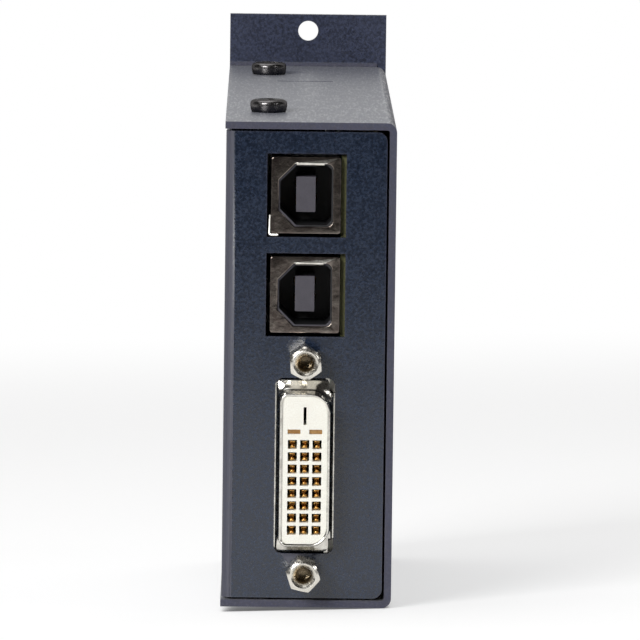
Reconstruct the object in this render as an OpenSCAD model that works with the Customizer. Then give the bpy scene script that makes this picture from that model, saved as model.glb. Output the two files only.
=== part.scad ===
// KVM over IP gateway in a folded sheet-metal case, standing on a narrow wall.
// Axes: +X runs from the cover's large face to the chassis's large face, +Y runs from
// the port end to the ears, +Z is up. The origin is midway between the two ear holes,
// on the outer face of the ears. Lengths are millimetres.

/* [Case] */
// Thickness of the case across its two large faces
case_w = 26.5; // [23:0.1:34]
// Height of the case as it stands on a narrow wall
case_h = 75.5; // [75.3:0.1:95]
// Depth of the case, from its port end to the outer face of the ears
case_d = 120; // [118:1:160]
// Sheet thickness of the chassis, paint included
chassis_t = 1.1; // [0.9:0.05:1.3]
// Sheet thickness of the cover, paint included
cover_t = 1.0; // [0.8:0.05:1.2]
// Outer radius of the chassis's long bends
chassis_bend_r = 1.5; // [1.35:0.05:2.5]
// Outer radius of the cover's bends
cover_bend_r = 1.6; // [1.3:0.05:2.4]
// Gap between the edges of the end panels and the chassis
panel_gap = 0.35; // [0.2:0.05:0.5]
// Set-back of the port panel behind the chassis's edge
panel_recess = 0.2; // [0.1:0.05:0.5]
// Set-back of the cover's large face behind the chassis's edges
cover_inset = 0.15; // [0:0.05:0.4]
// Radius of the end panels' free corners
panel_corner_r = 1.5; // [0.6:0.1:2.5]
// Width of the flanges that the cover folds in behind the narrow walls
flange_w = 10.5; // [10:0.1:11.5]

/* [Ears] */
// Height of each ear above its narrow wall
ear_h = 8.8; // [8.2:0.1:16]
// Inner radius of the ear's bend
ear_bend_r = 0.8; // [0.4:0.1:1.5]
// Height of the ear holes' middles above the narrow walls
ear_hole_up = 6; // [4.8:0.1:6.6]
// Diameter of the ear holes
ear_hole_d = 3.4; // [2.8:0.1:4.2]
// How far the ear's corner reaches down beside the chassis's long bend
ear_drop = 1.8; // [1:0.1:3]

/* [Case screws] */
// Distance of the case screws from each end of the case
case_screw_inset = 20.2; // [16:0.2:26]
// Distance of the case screws from the cover's side of the case
case_screw_from_cover = 6.65; // [6.4:0.05:7]
// Head diameter of the case screws
case_screw_head_d = 5.8; // [5:0.1:6.4]
// Head height of the case screws
case_screw_head_h = 2.1; // [1.6:0.1:2.6]
// Shank diameter of the case screws
case_screw_d = 2.9; // [2.5:0.05:3]
// Length of the case screws under the head
case_screw_len = 5; // [4.6:0.1:7]
// Length of the locating slot in each narrow wall
wall_slot_len = 9.2; // [6:0.1:12]
// Width of the locating slot
wall_slot_w = 0.8; // [0.5:0.1:1.5]
// Distance of the locating slot from the port end
wall_slot_from_ports = 84; // [60:0.5:92]

/* [Board] */
// Thickness of the circuit board
board_t = 1.6; // [1.2:0.1:2]
// Room between the board and the cover's large face
board_room = 16.85; // [15.5:0.05:18]
// Gap between the board's port edge and the port panel
board_near_gap = 0.8; // [0.5:0.1:1.2]
// Gap between the board's far edge and the far panel
board_far_gap = 2; // [1.5:0.1:5]
// Gap between the board's long edges and the chassis's walls
board_side_gap = 3.2; // [3:0.1:4]

/* [Ports] */
// Distance from the case's top to the middle of the first USB socket
usb_from_top = 11.35; // [10.5:0.05:11.8]
// Distance between the two USB sockets
usb_pitch = 15.45; // [14.2:0.05:15.9]
// Distance from the second USB socket to the middle of the video socket
video_from_usb = 26.6; // [26.1:0.1:27]
// Distance from the case's top to the middle of the network socket
network_from_top = 20; // [19.5:0.5:22]
// Distance from the network socket to the middle light pipe
lights_from_network = 16.5; // [15.5:0.5:18]
// Distance from the middle light pipe to the reset button
reset_from_lights = 10.5; // [10:0.5:12]
// Distance from the reset button to the middle of the power socket
power_from_reset = 11.5; // [9.5:0.5:13]

/* [Hidden] */
$fn = 48;

// How far a cut runs past the faces that it opens
overrun = 0.5;
// Air left between two pieces that lie against each other
touch_gap = 0.02;

// Places of the sheet-metal faces
half_w = case_w / 2;
half_h = case_h / 2;
chassis_in_x = half_w - chassis_t;
chassis_in_z = half_h - chassis_t;
cover_out_x = cover_inset - half_w;
cover_in_x = cover_out_x + cover_t;
panel_half_h = chassis_in_z - panel_gap;
panel_edge_x = chassis_in_x - panel_gap;
port_face_y = panel_recess - case_d;
port_back_y = port_face_y + cover_t;
ear_bend_out = ear_bend_r + chassis_t;
end_gap = 0.1;
far_face_y = -ear_bend_out - end_gap;
far_back_y = far_face_y - cover_t;
chassis_inner_bend_r = 0.4;
ear_top_z = half_h + ear_h;
ear_hole_z = half_h + ear_hole_up;

// Flanges of the cover and what holds them
flange_gap = 0.1;
flange_out_z = chassis_in_z - flange_gap;
flange_in_z = flange_out_z - cover_t;
flange_relief = 0.6;
flange_near_y = port_face_y + cover_bend_r + flange_relief;
flange_far_y = far_face_y - cover_bend_r - flange_relief;
case_screw_x = case_screw_from_cover - half_w;
case_screw_ys = [case_screw_inset - case_d, -case_screw_inset];
case_screw_hole_gap = 0.25;
case_screw_dome_h = 0.9;
nut_d = 6;
nut_h = 2.2;
nut_neck_d = 4;
nut_bore_gap = 0.05;
cross_len = 3.3;
cross_w = 0.85;
cross_deep = 1.2;
wall_slot_x = -0.6;

// Spacers between the chassis and the board, and the screws through the chassis's large face
spacer_h = case_w - chassis_t - board_t - board_room - cover_t - cover_inset;
base_screw_d = 2.4;
base_screw_head_d = 4.6;
thread_gap = 0.05;
spacer_d = 5;
spacer_bite_share = 0.42;
head_sink = 0.1;
base_cross_len = 2.4;
base_cross_w = 0.6;
base_cross_deep = 0.9;

// Circuit board
board_back_x = chassis_in_x - spacer_h;
board_face_x = board_back_x - board_t;
board_near_y = port_back_y + board_near_gap;
board_far_y = far_back_y - board_far_gap;
board_len = board_far_y - board_near_y;
board_half_h = chassis_in_z - board_side_gap;
board_corner_r = 1.5;
board_hole_gap = 0.15;
board_screw_from_side = 4;
board_screw_from_near = 21.5;
board_screw_from_far = 5;
board_screw_head_d = 4.8;
board_screw_head_h = 1.8;
board_screw_spots = [
  for (y = [board_near_y + board_screw_from_near, board_far_y - board_screw_from_far],
       z = [board_screw_from_side - board_half_h, board_half_h - board_screw_from_side]) [y, z]
];

// USB sockets, turned so that their mounting side faces the board
usb_tall = 10.9;
usb_wide = 12;
usb_deep = 16.2;
usb_recess = 0.3;
usb_wall = 0.35;
usb_gap = 0.05;
usb_mouth_tall = 8.4;
usb_mouth_wide = 9.7;
usb_mouth_cut = 2.5;
usb_mouth_nick = 0.7;
usb_cave_inset = 0.22;
usb_cave_deep = 9.5;
usb_tongue_tall = 3;
usb_tongue_wide = 5.5;
usb_tongue_back = 2;
usb_contact_w = 1;
usb_contact_t = 0.2;
usb_contact_z = 1.25;
usb_contact_back = 1.2;
usb_leg_room = 2.4;
usb_leg_w = 0.5;
usb_finger_len = 2.2;
usb_finger_w = 1.4;
usb_finger_t = 0.4;
usb_finger_z = 2.5;
usb_finger_back = 0.4;
usb_cut_left = 0.56;
usb_cut_right = 0.78;
usb_cut_side = 0.47;
usb_x = board_face_x - usb_tall / 2;
usb_front_y = port_face_y + usb_recess;
usb_upper_z = half_h - usb_from_top;
usb_lower_z = usb_upper_z - usb_pitch;

// Video socket
video_above_board = 5.2;
video_x = board_face_x - video_above_board;
video_z = usb_lower_z - video_from_usb;
video_shell_w = 7.8;
video_shell_h = 23.8;
video_shell_wall = 0.4;
video_proud = 5.6;
video_small_r = 1.3;
video_big_r = 3;
video_skirt_side = 0.6;
video_skirt_end = 1.5;
video_skirt_set_back = 0.2;
video_flange_half_h = 19.4;
video_flange_t = 0.8;
video_cut_side = 0.73;
video_cut_end = 1.8;
video_cut_r = 1.2;
video_face_back = 0.3;
video_block_h = 32;
video_block_deep = 11;
video_pitch = 1.905;
video_rows = 8;
video_cols = 3;
video_first_row = 3.97;
video_hole = 1.4;
video_blade_z = 8.4;
video_blade_len = 2.75;
video_blade_w = 0.45;
video_bar_z = 5.95;
video_bar_x = 1.68;
video_bar_len = 2;
video_bar_w = 0.7;
video_bar_deep = 1.5;
video_contact_w = 0.9;
video_contact_t = 0.25;
video_contact_gap = 0.08;
video_contact_back = 0.5;
video_leaf_len = 5;
video_leg_step = 1.9;
video_leg_first = 1;
jack_span = 33;
jack_across_flats = 4.75;
jack_proud = 5.4;
jack_bore_d = 2.4;
jack_bore_deep = 4.9;
jack_mouth_d = 3.3;
jack_mouth_deep = 0.45;
jack_chamfer_d = 4.5;
jack_chamfer_h = 0.5;
jack_stud_d = 2.8;
jack_stud_len = 4.2;
jack_hole_gap = 0.15;
hexagon = 6;

// Network socket
network_tall = 13.4;
network_wide = 16;
network_deep = 21.3;
network_front_y = far_face_y + end_gap;
network_z = half_h - network_from_top;
network_x = board_face_x - network_tall / 2;
shield_t = 0.3;
shield_gap = 0.05;
network_mouth_wide = 11.8;
network_mouth_tall = 7.2;
network_mouth_from_board = 3.4;
network_latch_wide = 6;
network_latch_tall = 1.5;
network_cave_deep = 13;
network_pins = 8;
network_pin_pitch = 1.02;
network_pin_w = 0.4;
network_pin_t = 0.3;
network_pin_rise = 1.2;
network_light_w = 3;
network_light_tall = 2;
network_light_inset = 0.6;
network_light_deep = 6;
network_cut_gap = 0.3;

// Power socket
power_tall = 11;
power_wide = 9;
power_deep = 14.2;
power_z = half_h - network_from_top - lights_from_network - reset_from_lights - power_from_reset;
power_x = board_face_x - power_tall / 2;
power_mouth_d = 6.4;
power_cave_deep = 9.5;
power_pin_d = 2;
power_pin_back = 0.8;
power_pin_root = 3;
power_pin_gap = 0.03;
power_leaf_w = 1.6;
power_leaf_t = 0.4;
power_leaf_back = 2;
power_cut_gap = 0.25;
power_collar_d = 8.4;
power_collar_deep = 3.4;
power_axis_x = power_x;

// Lamps and light pipes
lights_z = half_h - network_from_top - lights_from_network;
light_pitch = 4;
light_count = 3;
light_pipe_d = 2.4;
light_pipe_above_board = 3.6;
light_pipe_len = 9;
light_post = 2.4;
light_hole_gap = 0.15;
light_web_t = 1.2;
lamp_h = 0.7;
lamp_w = 1.6;

// Reset button
reset_z = lights_z - reset_from_lights;
reset_wide = 6;
reset_tall = 6;
reset_deep = 3.4;
reset_front_back = 3.2;
reset_plunger_d = 2;
reset_hole_d = 2.5;
reset_bore_gap = 0.05;
reset_tip_back = 0.7;
reset_flange_d = 3.2;
reset_flange_t = 0.6;
reset_travel = 0.3;
reset_cover_t = 0.25;
reset_dome_t = 0.2;
reset_dome_d = 3.8;
reset_cave_d = 4.2;
reset_cave_deep = 2;
reset_x = board_face_x - reset_tall / 2;
reset_leg_w = 0.7;
reset_leg_len = 1.5;

// Chips: how far along the board from its port edge, and how far up it from its lower edge
chip_h = 1.4;
processor_size = 23;
processor_h = 2.2;
processor_place_shares = [0.56, 0.5];
pad_t = 0.5;
pad_size = 20;
heat_sink_size = 30;
heat_sink_base = 2.5;
heat_sink_h = 10;
heat_sink_fins = 7;
heat_sink_fin_t = 1.2;
memory_size = [8, 12.5];
memory_h = 1.1;
memory_place_shares = [[0.36, 0.66], [0.36, 0.45]];
video_chip_size = 14;
video_chip_place_shares = [0.25, 0.25];
network_chip_size = 9;
network_chip_place_shares = [0.7, 0.85];
usb_chip_size = 9;
usb_chip_place_shares = [0.24, 0.75];
flash_size = [5.3, 8];
flash_h = 1.8;
flash_place_shares = [0.39, 0.86];
power_chip_size = [6, 6.5];
power_chip_h = 2.3;
power_chip_place_shares = [[0.76, 0.32], [0.58, 0.15]];
inductor_size = 7;
inductor_h = 4;
inductor_place_shares = [[0.78, 0.17], [0.68, 0.15], [0.44, 0.15]];
capacitor_d = 6.3;
capacitor_h = 7.6;
capacitor_base = 6.6;
capacitor_base_h = 1;
capacitor_place_shares = [[0.86, 0.41], [0.86, 0.53], [0.36, 0.12]];
crystal_size = [4.6, 11];
crystal_h = 3.4;
crystal_place_shares = [[0.48, 0.82], [0.36, 0.265]];
resistor_size = [1.6, 0.8];
resistor_h = 0.5;
resistor_pitch = [2.6, 2];
resistor_cols = 3;
resistor_rows = 5;
resistor_place_shares = [[0.52, 0.87], [0.48, 0.26], [0.2, 0.54], [0.735, 0.59]];
header_place_shares = [0.6, 0.93];
header_pitch = 2.54;
header_count = 5;
header_h = 2.5;
header_pin_w = 0.64;
header_pin_len = 8.5;
header_pin_gap = 0.02;

// Shapes laid out in a plane and drawn out along one axis
module along_y(y0, y1) translate([0, y1, 0]) rotate([90, 0, 0]) linear_extrude(y1 - y0) children();
module along_x(x0, x1) translate([x0, 0, 0]) rotate([90, 0, 90]) linear_extrude(x1 - x0) children();
module along_z(z0, z1) translate([0, 0, z0]) linear_extrude(z1 - z0) children();
module block(low, high) translate(low) cube(high - low);
module both_ends() { children(); mirror([0, 0, 1]) children(); }

// A plate whose left and right corners have their own radii
module plate(w, h, left_r, right_r) {
  translate([left_r - w / 2, -h / 2]) square([w - left_r - right_r, h]);
  translate([-w / 2, left_r - h / 2]) square([left_r, h - 2 * left_r]);
  translate([w / 2 - right_r, right_r - h / 2]) square([right_r, h - 2 * right_r]);
  for (s = [-1, 1]) {
    translate([left_r - w / 2, s * (h / 2 - left_r)]) circle(left_r);
    translate([w / 2 - right_r, s * (h / 2 - right_r)]) circle(right_r);
  }
}

// A quarter of a ring, from straight down to straight right of its centre
module quarter_ring(inner_r, outer_r) intersection() {
  difference() { circle(outer_r); circle(inner_r); }
  translate([0, -outer_r]) square(outer_r);
}

// A point on the board's face, from its shares of the board
function board_spot(shares) = [
  board_near_y + shares[0] * board_len,
  (2 * shares[1] - 1) * board_half_h
];

// A block that stands on the board's face, centred on a spot of it
module on_board(shares, size, height, rise = 0) {
  spot = board_spot(shares);
  translate([board_face_x - rise - height, spot[0] - size[0] / 2, spot[1] - size[1] / 2])
    cube([height, size[0], size[1]]);
}

// Chassis: one folded sheet with a large wall, two narrow walls and two ears
module chassis_section() difference() {
  union() {
    translate([-half_w, -half_h]) square([case_w - chassis_bend_r, case_h]);
    translate([half_w - chassis_bend_r, chassis_bend_r - half_h])
      square([chassis_bend_r, case_h - 2 * chassis_bend_r]);
    for (s = [-1, 1])
      translate([half_w - chassis_bend_r, s * (half_h - chassis_bend_r)]) circle(chassis_bend_r);
  }
  translate([-half_w - overrun - chassis_inner_bend_r, 0])
    translate([(chassis_in_x + half_w + overrun + chassis_inner_bend_r) / 2, 0])
      plate(chassis_in_x + half_w + overrun + chassis_inner_bend_r, 2 * chassis_in_z,
            chassis_inner_bend_r, chassis_inner_bend_r);
}

module ear() {
  along_x(-half_w, half_w - chassis_bend_r)
    translate([-ear_bend_out, half_h + ear_bend_r]) quarter_ring(ear_bend_r, ear_bend_out);
  difference() {
    union() {
      block([-half_w, -chassis_t, half_h + ear_bend_r], [half_w, 0, ear_top_z]);
      block([half_w - chassis_bend_r, -chassis_t, half_h - ear_drop],
            [half_w, 0, half_h + ear_bend_r]);
    }
    translate([0, overrun, ear_hole_z]) rotate([90, 0, 0])
      cylinder(h = chassis_t + 2 * overrun, d = ear_hole_d);
  }
}

module chassis() color([0.23, 0.24, 0.3]) difference() {
  union() {
    along_y(-case_d, -ear_bend_out) chassis_section();
    both_ends() ear();
  }
  both_ends() {
    for (y = case_screw_ys)
      translate([case_screw_x, y, chassis_in_z - overrun])
        cylinder(h = chassis_t + 2 * overrun, d = case_screw_d + 2 * case_screw_hole_gap);
    translate([wall_slot_x - wall_slot_len / 2, wall_slot_from_ports - case_d, chassis_in_z - overrun])
      cube([wall_slot_len, wall_slot_w, chassis_t + 2 * overrun]);
  }
  for (spot = board_screw_spots) translate([chassis_in_x, spot[0], spot[1]]) rotate([0, 90, 0])
    screw_sink(thread_gap);
}

// The space of a countersunk head in the large wall, and a little of the shank behind it
module screw_sink(gap) {
  cylinder(h = chassis_t, d1 = base_screw_d + 2 * gap, d2 = base_screw_head_d + 2 * gap);
  translate([0, 0, -overrun]) cylinder(h = chassis_t, d = base_screw_d + 2 * gap);
  translate([0, 0, chassis_t]) cylinder(h = overrun, d = base_screw_head_d + 2 * gap);
}

// Cover: one folded sheet with a large wall, two end panels and two side flanges
module cover_ends_section() {
  straight = far_face_y - port_face_y - 2 * cover_bend_r;
  translate([cover_out_x, port_face_y + cover_bend_r]) square([cover_t, straight]);
  for (side = [0, 1])
    translate([0, side * (port_face_y + far_face_y)]) mirror([0, side]) {
      translate([cover_out_x + cover_bend_r, port_face_y])
        square([panel_edge_x - cover_out_x - cover_bend_r, cover_t]);
      translate([cover_out_x + cover_bend_r, port_face_y + cover_bend_r]) mirror([1, 0])
        quarter_ring(cover_bend_r - cover_t, cover_bend_r);
    }
}

module cover_flanges_section() {
  translate([cover_out_x, cover_bend_r - flange_out_z])
    square([cover_t, 2 * (flange_out_z - cover_bend_r)]);
  for (s = [0, 1]) mirror([0, s]) {
    translate([cover_out_x + cover_bend_r, -flange_out_z]) square([flange_w - cover_bend_r, cover_t]);
    translate([cover_out_x + cover_bend_r, cover_bend_r - flange_out_z]) mirror([1, 0])
      quarter_ring(cover_bend_r - cover_t, cover_bend_r);
  }
}

module end_panel_outline() translate([(panel_edge_x + cover_out_x) / 2, 0])
  plate(panel_edge_x - cover_out_x, 2 * panel_half_h, touch_gap, panel_corner_r);

module cover() color([0.16, 0.18, 0.24]) difference() {
  union() {
    intersection() {
      along_z(-panel_half_h, panel_half_h) cover_ends_section();
      along_y(port_face_y - overrun, far_face_y + overrun) end_panel_outline();
      difference() {
        block([-case_w, -2 * case_d, -case_h], [case_w, case_d, case_h]);
        both_ends() block(
          [-case_w, flange_near_y - flange_relief, flange_out_z - cover_bend_r],
          [cover_out_x + flange_w + overrun, flange_far_y + flange_relief, case_h]);
      }
    }
    along_y(flange_near_y, flange_far_y) cover_flanges_section();
  }
  both_ends() for (y = case_screw_ys)
    translate([case_screw_x, y, flange_in_z - overrun])
      cylinder(h = cover_t + 2 * overrun, d = nut_neck_d + 2 * touch_gap);
  port_panel_cuts();
  far_panel_cuts();
}

module port_panel_cuts() {
  for (z = [usb_upper_z, usb_lower_z])
    block([usb_x - usb_tall / 2 - usb_cut_left, port_face_y - overrun, z - usb_wide / 2 - usb_cut_side],
          [board_face_x + usb_cut_right, port_back_y + overrun, z + usb_wide / 2 + usb_cut_side]);
  along_y(port_face_y - overrun, port_back_y + overrun) translate([video_x, video_z])
    plate(video_shell_w + 2 * video_cut_side, video_shell_h + 2 * video_cut_end,
          video_cut_r, video_cut_r);
  for (s = [-1, 1]) translate([video_x, port_back_y + overrun, video_z + s * jack_span / 2])
    rotate([90, 0, 0]) cylinder(h = cover_t + 2 * overrun, d = jack_stud_d + 2 * jack_hole_gap);
}

module far_panel_cuts() {
  low_y = far_back_y - overrun;
  high_y = far_face_y + overrun;
  block([network_x - network_tall / 2 - network_cut_gap, low_y,
         network_z - network_wide / 2 - network_cut_gap],
        [board_face_x, high_y, network_z + network_wide / 2 + network_cut_gap]);
  translate([power_axis_x, high_y, power_z]) rotate([90, 0, 0])
    cylinder(h = high_y - low_y, d = power_collar_d + 2 * power_cut_gap);
  for (i = [1:light_count])
    translate([board_face_x - light_pipe_above_board, high_y, lights_z + light_offset(i)])
      rotate([90, 0, 0]) cylinder(h = high_y - low_y, d = light_pipe_d + 2 * light_hole_gap);
  translate([reset_x, high_y, reset_z]) rotate([90, 0, 0])
    cylinder(h = high_y - low_y, d = reset_hole_d);
}

function light_offset(i) = (i - (light_count + 1) / 2) * light_pitch;

// Round nuts pressed into the flanges for the case screws
module cover_press_nuts() color([0.75, 0.76, 0.78]) both_ends() for (y = case_screw_ys)
  translate([case_screw_x, y, 0]) difference() {
    union() {
      translate([0, 0, flange_in_z - nut_h]) cylinder(h = nut_h, d = nut_d);
      translate([0, 0, flange_in_z - touch_gap]) cylinder(h = cover_t, d = nut_neck_d);
    }
    translate([0, 0, flange_in_z - nut_h - overrun])
      cylinder(h = nut_h + cover_t + 2 * overrun, d = case_screw_d + 2 * nut_bore_gap);
  }

// A cross-recessed pan-head screw, head up, with the seat of its head at zero
module pan_screw(head_d, head_h, dome_h, shank_d, length, recess) {
  dome_r = (head_d * head_d / 4 + dome_h * dome_h) / (2 * dome_h);
  difference() {
    union() {
      intersection() {
        cylinder(h = head_h, d = head_d);
        translate([0, 0, head_h - dome_r]) sphere(dome_r);
      }
      translate([0, 0, -length]) cylinder(h = length + dome_h, d = shank_d);
    }
    for (turn = [0, 90]) rotate([0, 0, turn])
      translate([-recess[0] / 2, -recess[1] / 2, head_h - recess[2]])
        cube([recess[0], recess[1], recess[2] + overrun]);
  }
}

module case_screw_pair() color([0.09, 0.09, 0.1]) for (y = case_screw_ys)
  translate([case_screw_x, y, half_h])
    pan_screw(case_screw_head_d, case_screw_head_h, case_screw_dome_h, case_screw_d, case_screw_len,
              [cross_len, cross_w, cross_deep]);

module case_screws_upper() case_screw_pair();
module case_screws_lower() mirror([0, 0, 1]) case_screw_pair();

// Countersunk screws through the large wall into the spacers
module base_screws() color([0.09, 0.09, 0.1]) for (spot = board_screw_spots)
  translate([chassis_in_x, spot[0], spot[1]]) rotate([0, 90, 0]) difference() {
    union() {
      cylinder(h = chassis_t - head_sink, d1 = base_screw_d, d2 = base_screw_head_d - 2 * head_sink);
      translate([0, 0, -spacer_h * spacer_bite_share])
        cylinder(h = spacer_h * spacer_bite_share + chassis_t - head_sink, d = base_screw_d);
    }
    for (turn = [0, 90]) rotate([0, 0, turn])
      translate([-base_cross_len / 2, -base_cross_w / 2, chassis_t - base_cross_deep])
        cube([base_cross_len, base_cross_w, base_cross_deep]);
  }

module circuit_board() color([0.1, 0.3, 0.16]) difference() {
  along_x(board_face_x, board_back_x) translate([(board_near_y + board_far_y) / 2, 0])
    plate(board_len, 2 * board_half_h, board_corner_r, board_corner_r);
  for (spot = board_screw_spots) translate([board_face_x - overrun, spot[0], spot[1]])
    rotate([0, 90, 0])
      cylinder(h = board_t + 2 * overrun, d = base_screw_d + 2 * board_hole_gap);
}

module board_spacers() color([0.8, 0.74, 0.5]) for (spot = board_screw_spots)
  translate([board_back_x, spot[0], spot[1]]) rotate([0, 90, 0]) difference() {
    cylinder(h = spacer_h, d = spacer_d);
    translate([0, 0, -overrun])
      cylinder(h = spacer_h + 2 * overrun, d = base_screw_d + 2 * thread_gap);
  }

module board_screws() color([0.75, 0.76, 0.78]) for (spot = board_screw_spots)
  translate([board_face_x, spot[0], spot[1]]) rotate([0, -90, 0])
    pan_screw(board_screw_head_d, board_screw_head_h, case_screw_dome_h, base_screw_d,
              board_t + spacer_h * spacer_bite_share, [base_cross_len, base_cross_w, base_cross_deep]);

// USB socket: the mouth has two cut corners on the side away from the board
module usb_mouth(inset) {
  w = usb_mouth_tall / 2 - inset;
  h = usb_mouth_wide / 2 - inset;
  cut = usb_mouth_cut;
  nick = usb_mouth_nick;
  polygon([
    [-w, h - cut], [cut - w, h], [w - nick, h], [w, h - nick],
    [w, nick - h], [w - nick, -h], [cut - w, -h], [-w, cut - h]
  ]);
}

module usb_shell(z) color([0.6, 0.59, 0.57]) translate([usb_x, usb_front_y, z]) {
  difference() {
    block([-usb_tall / 2, 0, -usb_wide / 2], [usb_tall / 2, usb_deep, usb_wide / 2]);
    block([usb_wall - usb_tall / 2, usb_wall, usb_wall - usb_wide / 2],
          [usb_tall / 2 + overrun, usb_deep - usb_wall, usb_wide / 2 - usb_wall]);
    along_y(-overrun, usb_wall + overrun) usb_mouth(0);
  }
  for (s = [-1, 1])
    block([-usb_tall / 2 - usb_finger_t, usb_finger_back, s * usb_finger_z - usb_finger_w / 2],
          [-usb_tall / 2, usb_finger_back + usb_finger_len, s * usb_finger_z + usb_finger_w / 2]);
}

usb_body_front = usb_wall + usb_gap;
usb_body_back = usb_deep - usb_wall - usb_leg_room;

module usb_body(z) color([0.05, 0.05, 0.06]) translate([usb_x, usb_front_y, z]) difference() {
  union() {
    difference() {
      block([usb_body_front - usb_tall / 2, usb_body_front, usb_body_front - usb_wide / 2],
            [usb_tall / 2, usb_body_back, usb_wide / 2 - usb_body_front]);
      along_y(usb_body_front - overrun, usb_body_front + usb_cave_deep) usb_mouth(usb_cave_inset);
    }
    block([-usb_tongue_tall / 2, usb_tongue_back, -usb_tongue_wide / 2],
          [usb_tongue_tall / 2, usb_body_back, usb_tongue_wide / 2]);
  }
  for (s = [-1, 1], t = [-1, 1]) usb_contact_run(s, t, usb_gap);
}

// The straight run of one contact, along one side of the tongue and out of the back
module usb_contact_run(side, end, gap) {
  inner = side * usb_tongue_tall / 2;
  outer = side * (usb_tongue_tall / 2 + usb_contact_t);
  block([min(inner, outer) - gap, usb_tongue_back + usb_contact_back - gap,
         end * usb_contact_z - usb_contact_w / 2 - gap],
        [max(inner, outer) + gap, usb_body_back + overrun,
         end * usb_contact_z + usb_contact_w / 2 + gap]);
}

module usb_contacts(z) color([0.83, 0.66, 0.3]) translate([usb_x, usb_front_y, z])
  for (s = [-1, 1], t = [-1, 1]) {
    leg_y = usb_body_back + (s > 0 ? 0 : usb_leg_room / 2) + usb_gap;
    usb_contact_run(s, t, 0);
    low_x = s > 0 ? usb_tongue_tall / 2 : -usb_tongue_tall / 2 - usb_contact_t;
    block([low_x, usb_body_back, t * usb_contact_z - usb_leg_w / 2],
          [low_x + usb_contact_t, leg_y + usb_leg_w, t * usb_contact_z + usb_leg_w / 2]);
    block([low_x, leg_y, t * usb_contact_z - usb_leg_w / 2],
          [usb_tall / 2, leg_y + usb_leg_w, t * usb_contact_z + usb_leg_w / 2]);
  }

module usb_shell_upper() usb_shell(usb_upper_z);
module usb_shell_lower() usb_shell(usb_lower_z);
module usb_body_upper() usb_body(usb_upper_z);
module usb_body_lower() usb_body(usb_lower_z);
module usb_contacts_upper() usb_contacts(usb_upper_z);
module usb_contacts_lower() usb_contacts(usb_lower_z);

// Video socket: places along Y are measured from the port panel's outer face
video_back = cover_t + video_flange_t;
video_block_back = video_back + video_block_deep;

module video_outline(grow_w, grow_h) plate(
  video_shell_w + 2 * grow_w, video_shell_h + 2 * grow_h,
  video_small_r + min(grow_w, 0), video_big_r + min(grow_w, 0));

module video_shell() color([0.78, 0.77, 0.74]) translate([video_x, port_face_y, video_z]) difference() {
  union() {
    along_y(-video_proud, cover_t) video_outline(0, 0);
    along_y(video_skirt_set_back, cover_t) video_outline(video_skirt_side, video_skirt_end);
    block([-video_above_board, cover_t, -video_flange_half_h],
          [video_above_board, video_back, video_flange_half_h]);
  }
  along_y(-video_proud - overrun, video_back + overrun)
    video_outline(-video_shell_wall, -video_shell_wall);
  for (s = [-1, 1]) translate([0, video_back + overrun, s * jack_span / 2]) rotate([90, 0, 0])
    cylinder(h = video_flange_t + 2 * overrun, d = jack_stud_d + 2 * thread_gap);
}

function video_row_z(row) = video_first_row - row * video_pitch;
function video_col_x(col) = (col - (video_cols - 1) / 2) * video_pitch;

module video_insulator() color([0.93, 0.92, 0.86]) translate([video_x, port_face_y, video_z])
  difference() {
    union() {
      along_y(video_face_back - video_proud, video_back + touch_gap)
        video_outline(-video_shell_wall - touch_gap, -video_shell_wall - touch_gap);
      block([-video_above_board, video_back + touch_gap, -video_block_h / 2],
            [video_above_board, video_block_back, video_block_h / 2]);
    }
    for (row = [0:video_rows - 1], col = [0:video_cols - 1])
      block([video_col_x(col) - video_hole / 2, -video_proud, video_row_z(row) - video_hole / 2],
            [video_col_x(col) + video_hole / 2, video_block_back + overrun,
             video_row_z(row) + video_hole / 2]);
    block([-video_blade_w / 2, -video_proud, video_blade_z - video_blade_len / 2],
          [video_blade_w / 2, video_block_back + overrun, video_blade_z + video_blade_len / 2]);
    for (s = [-1, 1])
      block([s * video_bar_x - video_bar_len / 2, -video_proud, video_bar_z - video_bar_w / 2],
            [s * video_bar_x + video_bar_len / 2, video_bar_deep, video_bar_z + video_bar_w / 2]);
    for (s = [-1, 1]) translate([0, video_back - overrun, s * jack_span / 2]) rotate([-90, 0, 0])
      cylinder(h = jack_stud_len + overrun, d = jack_stud_d + 2 * jack_hole_gap);
  }

// Each contact has two leaves in its hole, a run to the back and a leg down to the board
module video_signal_contacts() color([0.83, 0.66, 0.3]) translate([video_x, port_face_y, video_z])
  for (row = [0:video_rows - 1], col = [0:video_cols - 1]) translate([0, 0, video_row_z(row)]) {
    x = video_col_x(col);
    half = video_hole / 2 - video_contact_gap;
    front = video_face_back - video_proud + video_contact_back;
    leg_y = video_block_back + video_leg_first + (video_cols - 1 - col) * video_leg_step;
    for (s = [-1, 1])
      block([x - video_contact_w / 2, front, s > 0 ? half - video_contact_t : -half],
            [x + video_contact_w / 2, front + video_leaf_len, s > 0 ? half : video_contact_t - half]);
    block([x - video_contact_w / 2, front + video_leaf_len, -half],
          [x + video_contact_w / 2, front + video_leaf_len + video_contact_t, half]);
    block([x - video_contact_t / 2, front + video_leaf_len, -video_contact_w / 2],
          [x + video_contact_t / 2, leg_y + video_contact_w, video_contact_w / 2]);
    block([x - video_contact_t / 2, leg_y, -video_contact_t / 2],
          [video_above_board, leg_y + video_contact_w, video_contact_t / 2]);
  }

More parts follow.
